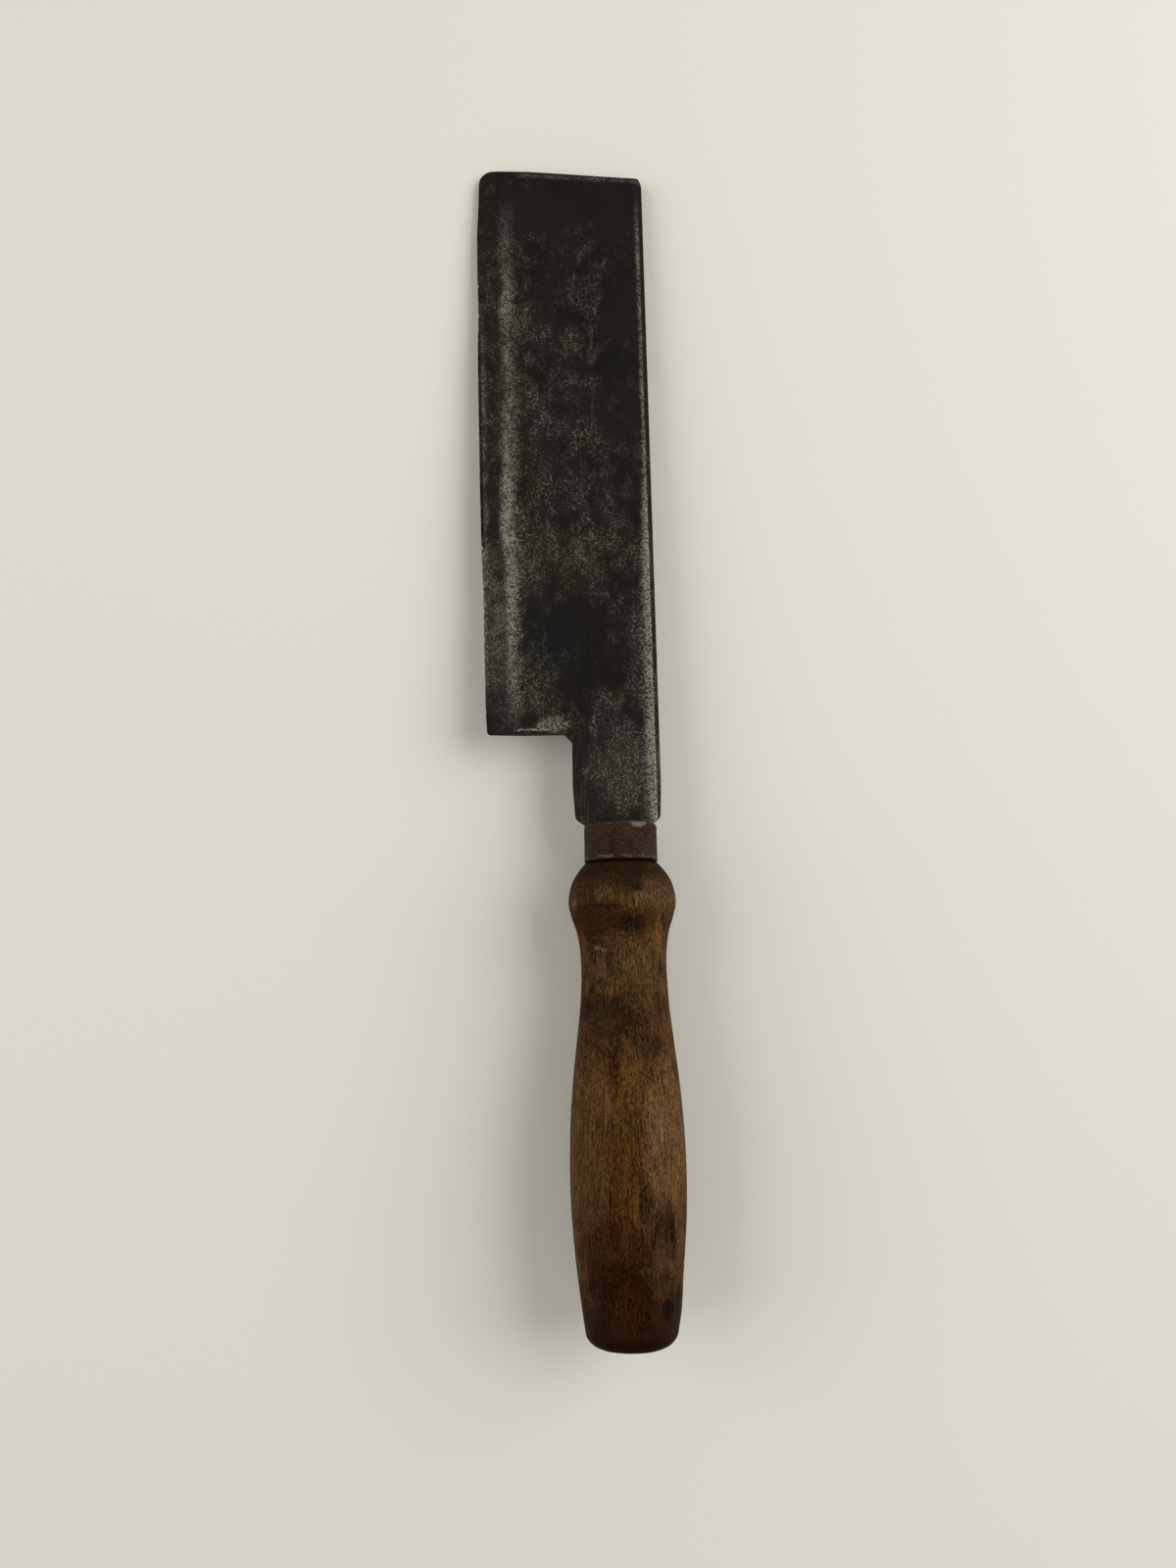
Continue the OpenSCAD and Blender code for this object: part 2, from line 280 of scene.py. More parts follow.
# How bright the shoulder of the edge bevel is, worn bare and in part a painted highlight, as (y, strength)
SHOULDER_BRIGHTNESS = [
    (23, 0), (29, 0.12), (34, 0.45), (46, 0.52), (60, 0.75), (75, 0.95), (88, 0.85), (98, 0.5),
    (108, 0.45), (119, 0.7), (131, 0.5), (140, 0.5), (148, 0.74), (155, 0.35), (168, 0.2),
    (176, 0.14), (181, 0),
]
# Tones of the handle's upper side, a few of them painted sheen and painted shade, as (x, y, half width, half
# length, strength, colour)
WOOD_TONES_SHEEN_AND_SHADE = [
    # bulb
    (8, -19.0, 7, 6, 0.6, (0.095, 0.05, 0.02)),
    (-7, -16.5, 7, 6, 0.7, (0.042, 0.018, 0.0045)),
    (0, -18.5, 6, 3, 0.6, (0.052, 0.025, 0.008)),
    (-4.5, -19.2, 2.6, 2.6, 0.55, (0.095, 0.049, 0.015)),
    (5, -19.6, 3.4, 1.8, 0.5, (0.105, 0.06, 0.024)),
    (1.6, -15.5, 3.6, 4.0, 0.7, (0.021, 0.012, 0.006)),
    (4.2, -17.2, 1.6, 1.3, 0.7, (0.013, 0.008, 0.0045)),
    # waist
    # painted shade: the next line darkens the left side just under the bulb's widest part
    (-6.5, -25, 9, 4.5, 0.85, (0.03, 0.0105, 0.003)),
    (6, -25, 6, 3, 0.5, (0.028, 0.011, 0.0035)),
    (8.9, -29.5, 1.0, 5.5, 0.75, (0.13, 0.064, 0.017)),
    (1.6, -26.5, 3.2, 2.6, 0.8, (0.011, 0.0058, 0.003)),
    (-6.2, -31.9, 0.9, 0.6, 1.0, (0.19, 0.14, 0.1)),
    (-4.9, -32.4, 0.8, 0.5, 0.9, (0.17, 0.125, 0.09)),
    (1, -37, 10, 10, 0.5, (0.076, 0.04, 0.015)),
    (-4.5, -49, 7, 6, 0.65, (0.016, 0.0088, 0.0038)),
    (3, -47, 7, 7, 0.35, (0.023, 0.01, 0.0036)),
    # upper belly
    (3.4, -56, 6.5, 3.2, 0.5, (0.017, 0.0085, 0.0034)),
    (-6, -58, 7, 8, 0.4, (0.021, 0.0088, 0.0022)),
    (0.2, -68, 2.6, 16, 0.5, (0.108, 0.048, 0.0085)),
    (0.6, -90, 1.8, 16, 0.3, (0.075, 0.033, 0.008)),
    # painted sheen, in part: this line and the next lighten the right of the upper belly for the wood's
    # sheen there as well as its lighter colour
    (9, -78, 6, 20, 0.65, (0.135, 0.068, 0.025)),
    (6, -74, 3, 12, 0.4, (0.095, 0.05, 0.019)),
    (-9, -78, 6, 26, 0.6, (0.101, 0.046, 0.015)),
    # dark streaks low on the right
    (5.2, -97, 3.0, 9, 0.4, (0.026, 0.0122, 0.0044)),
    (8.6, -98, 2.4, 8, 0.35, (0.023, 0.0118, 0.0052)),
    (10.2, -101.5, 0.8, 6.5, 0.75, (0.0055, 0.0032, 0.0026)),
    (9.5, -95.5, 0.9, 4.5, 0.6, (0.0075, 0.0042, 0.0032)),
    (7.8, -100, 2.6, 6.5, 0.35, (0.013, 0.0072, 0.0046)),
    # lower belly and butt
    (-3, -105, 9, 10, 0.65, (0.023, 0.0058, 0.0005)),
    (8.3, -74, 0.45, 5.0, 0.6, (0.19, 0.125, 0.066)),
    (6.2, -79, 2.6, 8, 0.3, (0.12, 0.068, 0.03)),
    (-1, -84, 4.5, 17, 0.5, (0.052, 0.02, 0.002)),
    (3.2, -78, 2.2, 10, 0.55, (0.076, 0.037, 0.012)),
    (0, -120, 16, 15, 0.8, (0.016, 0.0037, 0.0003)),
    (7.5, -108, 4, 8, 0.4, (0.07, 0.036, 0.012)),
    (-8, -95, 5, 12, 0.35, (0.033, 0.011, 0.0022)),
    (-1, -117, 4, 7, 0.4, (0.042, 0.012, 0.0016)),
    (8.6, -117.2, 1.8, 2.5, 0.9, (0.005, 0.0028, 0.0024)),
]

# Stage, in metres: floor, room and two soft lamps
FLOOR_HALF = 3.0
FLOOR_COLOUR = (0.68, 0.66, 0.585, 1.0)
ROOM_COLOUR = (0.98, 0.99, 1.0, 1.0)
WALL_LIGHT = 0.96
CEILING_LIGHT = 0.12
LAMPS = [
    ("key", (0.85, 0.25, 0.75), 0.9, 11.1, (1.0, 0.98, 0.95)),
    ("fill", (-0.9, 0.05, 0.7), 0.9, 5.8, (1.0, 0.99, 0.97)),
]
CAMERA_PLACE = (0.002375, -0.054587, 0.32009)
CAMERA_TURN = (math.radians(6.371), 0.0, math.radians(-1.067))
CAMERA_LENS = 27.045
CAMERA_SENSOR = 36.0


# Pose and small helpers


def turn_x(a):
    return np.array([[1, 0, 0], [0, math.cos(a), -math.sin(a)], [0, math.sin(a), math.cos(a)]])


def turn_y(a):
    return np.array([[math.cos(a), 0, math.sin(a)], [0, 1, 0], [-math.sin(a), 0, math.cos(a)]])


POSE = turn_x(-PITCH) @ turn_y(-ROLL)


def lay(points):
    """Tool points in millimetres, put down on the bench in metres."""
    laid = np.asarray(points, float) @ POSE.T + SHIFT
    laid[:, 2] = np.maximum(laid[:, 2], 0.0)
    return laid * MM


def fbm(x, y, z, scale, octaves=2):
    """Fractal noise of about -1 to 1 at arrays of points, with features of a size in millimetres."""
    out = np.empty(len(x))
    for i in range(len(x)):
        out[i] = noise.fractal(Vector((x[i] / scale, y[i] / scale, z[i] / scale)), 0.9, 2.0, octaves)
    return out


def swell(value, centre, width):
    """A smooth hill of height 1 at the centre."""
    return np.exp(-((value - centre) / width) ** 2)


def rise(value, start, length):
    """From 0 at start, straight up to 1 a length further on."""
    return np.clip((value - start) / length, 0, 1)


def soft_min(a, b, width):
    """The lower of a and b, blended where they differ by less than width."""
    h = np.maximum(width - np.abs(a - b), 0.0) / width
    return np.minimum(a, b) - h * h * width / 4


def rounded(a, b, c, radius, steps):
    """Corner b between a and c as points, rounded where radius isn't 0."""
    if radius == 0:
        return [tuple(b)]
    a, b, c = (np.array(p, float) for p in (a, b, c))
    u, v = (a - b) / np.linalg.norm(a - b), (c - b) / np.linalg.norm(c - b)
    half = math.acos(max(-1, min(1, float(u @ v)))) / 2
    middle = (u + v) / np.linalg.norm(u + v)
    centre = b + middle * radius / math.sin(half)
    arm = b + u * radius / math.tan(half) - centre
    first = math.atan2(arm[1], arm[0])
    turn = (b - a)[0] * (c - b)[1] - (b - a)[1] * (c - b)[0]
    sweep = math.copysign(math.pi - 2 * half, turn)
    angles = [first + sweep * i / steps for i in range(steps + 1)]
    return [(centre[0] + radius * math.cos(t), centre[1] + radius * math.sin(t)) for t in angles]


def strips(rows):
    """Four-sided faces between closed rows of vertex numbers, each row with the next."""
    faces = []
    for a, b in zip(rows, rows[1:]):
        n = len(a)
        faces += [(a[i], a[(i + 1) % n], b[(i + 1) % n], b[i]) for i in range(n)]
    return faces


def rows_of(count, length, first=0):
    """Vertex numbers of rows of one length that follow each other."""
    return [list(range(first + k * length, first + (k + 1) * length)) for k in range(count)]


def add_object(name, data):
    thing = bpy.data.objects.new(name, data)
    bpy.context.scene.collection.objects.link(thing)
    return thing


def add_mesh(name, verts, faces, node, material):
    mesh = bpy.data.meshes.new(name)
    mesh.from_pydata([tuple(v) for v in lay(verts)], [], faces)
    mesh.validate()
    mesh.polygons.foreach_set("use_smooth", [True] * len(mesh.polygons))
    mesh.materials.append(material)
    piece = add_object(name, mesh)
    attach(piece, "root")
    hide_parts(node)
    return piece


# Shape of the blade


def spine_x(y):
    return SPINE_OFFSET - y * SPINE_LEAN


def edge_x(y):
    return EDGE_RADIUS - EDGE_REACH - np.sqrt(EDGE_RADIUS ** 2 - (y - BOW_Y) ** 2)


def tip_line(x):
    before_knee = spine_x(TIP_Y) - np.maximum(x, KNEE_X)
    past_knee = np.maximum(KNEE_X - x, 0)
    return TIP_Y + before_knee * TIP_RAKE + past_knee * TIP_RAKE_END


def face_height(x, y):
    return SPINE_HALF - (SPINE_OFFSET - x) * FACE_SLOPE - y * DISTAL_SLOPE


def edge_shift(y):
    """How far the cutting edge lies inside its smooth line."""
    shift = np.zeros_like(y)
    for at, amount, width in EDGE_WAVES + NICKS:
        shift += amount * swell(y, at, width)
    return shift


def tang_size(y):
    """Half width and half thickness of the tang's taper."""
    along = rise(-y, 0, TANG_LENGTH - TANG_POINT)
    width = TANG_HALF_WIDTH + (TANG_END_HALF_WIDTH - TANG_HALF_WIDTH) * along
    thick = TANG_HALF_THICK + (TANG_END_HALF_THICK - TANG_HALF_THICK) * along
    return width, thick


def plan_corners():
    """The plan's corners with their radii, round from the tang's end by the spine, tip and edge."""
    wear_top = float(tip_line(-EDGE_REACH))
    wear_x = (wear_top - TIP_Y + WEAR_LENGTH) * WEAR_SLOPE - EDGE_REACH
    tang = [
        ((TANG_POINT_HALF, -TANG_LENGTH), TANG_POINT_ROUND),
        ((TANG_END_HALF_WIDTH, TANG_END_Y), TANG_ROUND),
        ((TANG_HALF_WIDTH, 0), TANG_ROUND),
    ]
    spine_and_tip = [
        ((SHOULDER_RIGHT, 0), SHOULDER_ROUND),
        ((NECK_END_RIGHT, NECK_END_Y), NECK_END_ROUND),
        ((spine_x(NECK_STRAIGHT_Y), NECK_STRAIGHT_Y), 0),
        ((spine_x(TIP_Y), TIP_Y), SPINE_TIP_ROUND),
        ((KNEE_X, float(tip_line(KNEE_X))), KNEE_ROUND),
        ((wear_x, wear_top), EDGE_TIP_ROUND),
    ]
    edge_ys = np.arange(TIP_Y - WEAR_LENGTH - 1, HEEL_Y + 2.5, -EDGE_STEP)
    edge = [((float(edge_x(y)), float(y)), 0) for y in edge_ys]
    heel_and_neck = [
        ((float(edge_x(HEEL_Y)), HEEL_Y), HEEL_ROUND),
        ((NECK_X - NOTCH_FILED_X, HEEL_Y), NOTCH_ROUND),
        ((NECK_X, HEEL_Y - NOTCH_FILED_Y), NOTCH_END_ROUND),
        ((NECK_X, NECK_STRAIGHT_Y), NECK_BEND_ROUND),
        ((NECK_END_LEFT, NECK_END_Y), NECK_END_ROUND),
        ((SHOULDER_LEFT, 0), SHOULDER_ROUND),
    ]
    other_side = [((-x, y), radius) for (x, y), radius in reversed(tang)]
    return tang + spine_and_tip + edge + heel_and_neck + other_side


def divided(points):
    """A closed outline divided into short pieces, the shortest along the cutting edge."""
    out = []
    for p, q in zip(points, points[1:] + points[:1]):
        on_edge = p[0] < EDGE_SIDE_X and HEEL_Y + 2 < p[1] < TIP_Y - 5
        pieces = max(1, math.ceil(math.dist(p, q) / (EDGE_PIECE if on_edge else RIM_PIECE)))
        for k in range(pieces):
            out.append((p[0] + (q[0] - p[0]) * k / pieces, p[1] + (q[1] - p[1]) * k / pieces))
    return np.array(out)


def blade_outline():
    """The closed outline in plan, with the waves and nicks of its cutting edge."""
    corners = plan_corners()
    points = []
    for i, (point, radius) in enumerate(corners):
        before, after = corners[i - 1][0], corners[(i + 1) % len(corners)][0]
        points += rounded(before, point, after, radius, 14 if radius > 1 else 8)
    out = divided(points)
    x, y = out[:, 0], out[:, 1]
    on_edge = (x < EDGE_SIDE_X) & (y > HEEL_Y + 1.2) & (y < TIP_Y - 1)
    fade = rise(y - HEEL_Y, 1.2, 3) * rise(TIP_Y - 1 - y, 0, 3)
    out[:, 0] += np.where(on_edge, edge_shift(y) * fade, 0)
    return out


def ground_half(x, y):
    """Half the thickness over the cutting edge: the honed strip, then the ground bevel."""
    wave_reach = 12
    from_edge = x - edge_x(y)
    d = from_edge - edge_shift(y) * rise(wave_reach - from_edge, 0, wave_reach)
    honed = EDGE_HALF + d * (HONED_HALF - EDGE_HALF) / HONED_WIDTH
    bevel = HONED_HALF + (d - HONED_WIDTH) * BEVEL_SLOPE
    return soft_min(honed, bevel, HONED_BLEND)


def half_thickness(x, y):
    """Half the blade's thickness at points of the plan, before its outer corners are rounded."""
    face = face_height(x, y)
    half = soft_min(face, ground_half(x, y), BEVEL_BLEND)
    # spine: a slow roll-off, then the bevel
    inner = spine_x(y) - SPINE_BEVEL + y * SPINE_BEVEL_FADE
    half = half - SPINE_ROLL * np.maximum(0, x - inner + SPINE_ROLL_WIDTH) ** 2
    half = soft_min(half, face - SPINE_BEVEL_SINK - (x - inner) * SPINE_BEVEL_SLOPE, SPINE_BLEND)
    # tip: the same, worn softer
    from_tip = tip_line(x) - y
    half = half - TIP_ROLL * np.maximum(0, TIP_ROLL_WIDTH - from_tip) ** 2
    half = soft_min(half, face + TIP_BREAK_LIFT + (from_tip - TIP_BREAK) * TIP_BREAK_SLOPE, TIP_BLEND)
    # tang
    pointed = rise(-y - TANG_LENGTH + TANG_POINT, 0, TANG_POINT)
    tang = tang_size(y)[1] + (TANG_POINT_HALF - TANG_END_HALF_THICK) * pointed
    behind_shoulder = rise(-y, 0, SHOULDER_STEP)
    return np.maximum(half * (1 - behind_shoulder) + tang * behind_shoulder, LEAST_HALF)


def corner_radius(points):
    """How far the corners along the outline are worn round, from place to place."""
    x, y = points[:, 0], points[:, 1]
    edge_side = x < EDGE_SIDE_X
    radius = np.full(len(points), WORN_CORNER)
    radius[(x < edge_x(y) + 2) & (y > HEEL_Y + 1.5)] = KEEN_CORNER
    heel = HEEL_CORNER + (KEEN_CORNER - HEEL_CORNER) * rise(y - HEEL_Y, 1, 6)
    radius = np.where(edge_side & (y > HEEL_Y - 0.5) & (y < HEEL_Y + 8), heel, radius)
    tip = KEEN_CORNER + TIP_CORNER_GROWTH * rise(y - TIP_Y, -6, 8)
    radius = np.where(edge_side & (y > TIP_Y - 6), tip, radius)
    radius = np.where(np.abs(y) < 1.6, SHOULDER_CORNER, radius)
    radius[y < -0.3] = TANG_CORNER
    radius[y < TANG_END_Y + 1] = TANG_POINT_CORNER
    return radius


def rim_rings(outline):
    """Rings from the outline inward over its worn corner, and the radii of that corner."""
    along = np.roll(outline, -1, 0) - np.roll(outline, 1, 0)
    along /= np.linalg.norm(along, axis=1)[:, None]
    inward = np.stack([-along[:, 1], along[:, 0]], 1)
    radius = corner_radius(outline)
    return [outline + inward * (radius * step)[:, None] for step in RIM_STEPS], radius


def corner_drop(radius, count):
    """How far each of count plan points lies below the face at the worn corner."""
    short = np.repeat(np.clip(1 - RIM_STEPS[:-1], 0, 1), len(radius))
    drop = np.zeros(count)
    drop[:len(short)] = np.tile(radius, len(RIM_STEPS) - 1) * (1 - np.sqrt(1 - short ** 2))
    return drop


def inside(x, y, outline):
    """Which points lie inside a closed outline."""
    hit = np.zeros(len(x), bool)
    for i in range(len(outline)):
        (x0, y0), (x1, y1) = outline[i - 1], outline[i]
        if y0 != y1:
            hit ^= ((y0 > y) != (y1 > y)) & (x < (x1 - x0) * (y - y0) / (y1 - y0) + x0)
    return hit


def interior_points(ring):
    """Mesh points inside a ring of the plan, on lines along the blade."""
    skew_start = 120
    tang_rows = np.arange(-TANG_LENGTH + 1, 0, 2.0)
    blade_rows = np.arange(0.6, TIP_Y - 5, 1.0)
    points = []
    for y in np.concatenate([tang_rows, blade_rows, TIP_Y - ROWS_FROM_TIP]):
        left, right = edge_x(y), spine_x(y)
        middle = np.linspace(left + 12.6, right - 5.2, MIDDLE_LINES)
        xs = np.concatenate([left + LINES_FROM_EDGE, middle, right - LINES_FROM_SPINE])
        skew = rise(y, skew_start, TIP_Y - skew_start) * (tip_line(xs) - TIP_Y)
        points.append(np.stack([xs, y + skew], 1))
    points = np.concatenate(points)
    points = points[inside(points[:, 0], points[:, 1], ring)]
    keep = np.ones(len(points), bool)
    for start in range(0, len(points), 500):
        block = points[start:start + 500]
        gap = np.sqrt(((block[:, None, :] - ring[None]) ** 2).sum(2)).min(1)
        by_edge = block[:, 0] < edge_x(block[:, 1]) + 1.5
        keep[start:start + 500] = gap > np.where(by_edge, CLEAR_OF_EDGE, CLEAR_OF_RIM)
    return points[keep]


def plan_mesh(rings):
    """The plan's points, ring after ring, then the triangles and vertex numbers of the last ring."""
    loop = rings[-1]
    n = len(loop)
    flat = [Vector(p) for p in np.concatenate([loop, interior_points(loop)])]
    middle, _, triangles, sources, _, _ = geometry.delaunay_2d_cdt(flat, [], [list(range(n))], 1, 1e-6)
    base = n * (len(rings) - 1)
    place = {source: base + i for i, group in enumerate(sources) for source in group}
    plan = np.concatenate(rings[:-1] + [np.array([[v.x, v.y] for v in middle])])
    return plan, [tuple(base + v for v in t) for t in triangles], [place[i] for i in range(n)]


def forged_side(plan, half, sign):
    """One side of the blade, with the shallow hollows of its forging."""
    x, y = plan[:, 0], plan[:, 1]
    seed = np.full(len(plan), 40.0 * sign)
    wave = 0.075 * fbm(x, y * 0.7, seed, 24) + 0.03 * fbm(x, y, seed + 9, 7)
    wave += 0.012 * fbm(x, y, seed + 5, 2.1)
    on_face = rise(x - edge_x(y), 0.6, 6) * rise(y, -1, 3)
    z = half + (wave - 0.06) * on_face
    return np.stack([x, y, sign * np.maximum(z, LEAST_HALF / 2)], 1)


def build_blade(material):
    outline = blade_outline()
    n = len(outline)
    rings, radius = rim_rings(outline)
    plan, triangles, inner_row = plan_mesh(rings)
    count = len(plan)
    half = half_thickness(plan[:, 0], plan[:, 1])
    half = half - np.minimum(corner_drop(radius, count), half * 0.75)
    upper, lower = forged_side(plan, half, 1), forged_side(plan, half, -1)
    shares = [k / (WALL_ROWS + 1) for k in range(1, WALL_ROWS + 1)]
    wall = [upper[:n] * (1 - share) + lower[:n] * share for share in shares]
    verts = np.concatenate([upper, lower] + wall)

    rows = rows_of(len(rings) - 1, n) + [inner_row]
    faces = triangles + strips(rows)
    # the lower side has the upper one's faces, turned over
    faces += [tuple(count + v for v in reversed(face)) for face in faces]
    wall_rows = rows[:1] + rows_of(WALL_ROWS, n, 2 * count) + rows_of(1, n, count)
    faces += strips(wall_rows[::-1])
    return add_mesh("blade_forged", verts, faces, "blade", material)


# Shapes of the turned pieces


def ring_at(sides, radius, y):
    """A ring of points round the tool's axis; radius is one number, or one for each point."""
    angle = np.arange(sides) * 2 * math.pi / sides
    return np.stack([radius * np.cos(angle), np.full(sides, y), radius * np.sin(angle)], 1)


def dents(places, angle, radius, y):
    """How deep the dents are at points of a turned piece."""
    depth = np.zeros(len(y))
    for at_y, at_angle, length, width, deep in places:
        arc = np.radians((angle - at_angle + 180) % 360 - 180) * radius
        depth += deep * swell(y, at_y, length) * swell(arc, 0, width)
    return depth


def push_out(points, radius, move):
    """Moves points at a radius further out from the tool's axis."""
    grow = 1 + move / np.maximum(radius, 1e-6)
    points[:, 0] *= grow
    points[:, 2] *= grow


def gauge_side():
    """The grip's turned side as (radius, y), the smooth curve through the gauge's points."""
    def slope(i):
        a, b = GAUGE[max(i - 1, 0)], GAUGE[min(i + 1, len(GAUGE) - 1)]
        return (b[1] - a[1]) / (b[0] - a[0])
    out = []
    for i in range(len(GAUGE) - 1):
        a, b = GAUGE[i], GAUGE[i + 1]
        run = b[0] - a[0]
        count = max(3, round(run / GAUGE_STEP))
        for k in range(count):
            t = k / count
            d = (a[1] * (1 + 2 * t) * (1 - t) ** 2 + b[1] * (3 - 2 * t) * t ** 2
                 + run * t * (1 - t) * (slope(i) * (1 - t) - slope(i + 1) * t))
            out.append((d / 2, -FERRULE_LENGTH - a[0] - t * run))
    out.append((GAUGE[-1][1] / 2, -FERRULE_LENGTH - GAUGE[-1][0]))
    return out


def grip_profile():
    """The grip's outside as (radius, y), from the ferrule to the middle of the butt."""
    side = gauge_side()
    butt_y = -FERRULE_LENGTH - GRIP_LENGTH
    dome = [(BUTT_RADIUS * t, butt_y - BUTT_DOME * (1 - t * t)) for t in (0.6, 0.45, 0.3, 0.14)]
    return side + rounded(side[-1], (BUTT_RADIUS, butt_y), dome[0], BUTT_ROUND, 16) + dome


def socket_radius(sides, y):
    """Radii of the hole in the handle: the tang's tapered rectangle or the wider pilot hole."""
    if y < TANG_END_Y:
        return np.full(sides, PILOT_RADIUS)
    width, thick = tang_size(y)
    direction = ring_at(sides, 1.0, y)
    across = width / np.maximum(np.abs(direction[:, 0]), 1e-6)
    upright = thick / np.maximum(np.abs(direction[:, 2]), 1e-6)
    return np.maximum(np.minimum(across, upright), PILOT_RADIUS)


def wear_handle(points):
    """Makes the handle's outside out of round, with tool marks, dents and a rasped end."""
    radius = np.hypot(points[:, 0], points[:, 2])
    angle = np.degrees(np.arctan2(points[:, 2], points[:, 0])) % 360
    y = points[:, 1]
    cos, sin = np.cos(np.radians(angle)), np.sin(np.radians(angle))
    move = 0.11 * fbm(cos * 9, y * 0.5, sin * 9, 14) + 0.035 * fbm(cos * 12, y * 0.35, sin * 12, 3.2)
    # tool marks round the bulb, and two places left full
    tool_marks = np.sin(y * 2 * math.pi / 1.7 + 1.5 * np.sin(y * 0.3))
    move += 0.02 * tool_marks * swell(y, -22, 14) ** 2
    move += 0.3 * swell(angle, 12, 40) * swell(y, -119, 5)
    move += 0.22 * swell((angle + 180) % 360, 180, 60) * swell(y, -45, 22) - 0.08
    # the turner's step below the bulb
    move += 0.12 * rise(y, -22.6, 0.5) * rise(-y, 14, 5)
    move -= dents(HANDLE_DENTS, angle, radius, y)
    behind_ferrule = rise(-FERRULE_LENGTH - y, 0, 2.5)
    off_axis = rise(radius, 0, 6)
    push_out(points, radius, move * behind_ferrule * off_axis)
    # the end is hand-sawn and rasped, not quite flat
    end = rise(-y, 121.5, 4)
    points[:, 1] += end * (0.08 * fbm(points[:, 0], points[:, 2], y * 0, 5) + 0.04)


def build_handle(material):
    depths = [0, -0.4] + list(np.linspace(-4, TANG_END_Y, 16)) + [TANG_END_Y - 0.3, -PILOT_END]
    socket = [(socket_radius(HANDLE_SIDES, y), y) for y in reversed(depths)]
    spigot = [(SPIGOT_RADIUS, y) for y in np.linspace(0, -FERRULE_LENGTH, 6)]
    profile = socket + spigot + grip_profile()
    rings = [ring_at(HANDLE_SIDES, radius, y) for radius, y in profile]
    drill_tip = [[0, -PILOT_END - PILOT_RADIUS * DRILL_SLOPE, 0]]
    butt_middle = [[0, -FERRULE_LENGTH - GRIP_LENGTH - BUTT_DOME, 0]]
    verts = np.concatenate(rings + [drill_tip, butt_middle])
    wear_handle(verts[(len(socket) + len(spigot)) * HANDLE_SIDES:])

    rows = rows_of(len(rings), HANDLE_SIDES)
    tip_row, middle_row = ([len(verts) - k] * HANDLE_SIDES for k in (2, 1))
    faces = [tuple(dict.fromkeys(face)) for face in strips([tip_row] + rows + [middle_row])]
    return add_mesh("handle_turned", verts, faces, "handle", material)


def wear_ferrule(points):
    """Makes the ferrule's outside uneven, with its dents."""
    radius = np.hypot(points[:, 0], points[:, 2])
    cos, sin, y = points[:, 0] / radius, points[:, 2] / radius, points[:, 1]
    move = 0.05 * fbm(cos * 6, y * 0.8, sin * 6, 6) + 0.018 * fbm(cos * 9.5, y, sin * 9.5, 1.6) - 0.05
    move -= dents(FERRULE_DENTS, np.degrees(np.arctan2(sin, cos)), radius, y)
    outside = rise(radius - SPIGOT_RADIUS, 0.5, 0.5)
    push_out(points, radius, move * outside)


def build_ferrule(material):
    out, rear_y = FERRULE_RADIUS, -FERRULE_LENGTH
    front = rounded((SPIGOT_RADIUS, 0), (out, 0), (out, rear_y), FERRULE_FRONT_ROUND, 10)
    rear = rounded((out, 0), (out, rear_y), (SPIGOT_RADIUS, rear_y), FERRULE_REAR_ROUND, 6)
    side = [(out, y) for y in np.linspace(-1.2, rear_y + 0.8, 14)]
    bore = [(SPIGOT_RADIUS, y) for y in np.linspace(rear_y, 0, 8)]
    profile = [(SPIGOT_RADIUS + 0.4, 0)] + front + side + rear + bore
    verts = np.concatenate([ring_at(FERRULE_SIDES, radius, y) for radius, y in profile])
    wear_ferrule(verts)
    rows = rows_of(len(profile), FERRULE_SIDES)
    return add_mesh("ferrule_worn", verts, strips(rows + rows[:1]), "ferrule", material)


# Materials


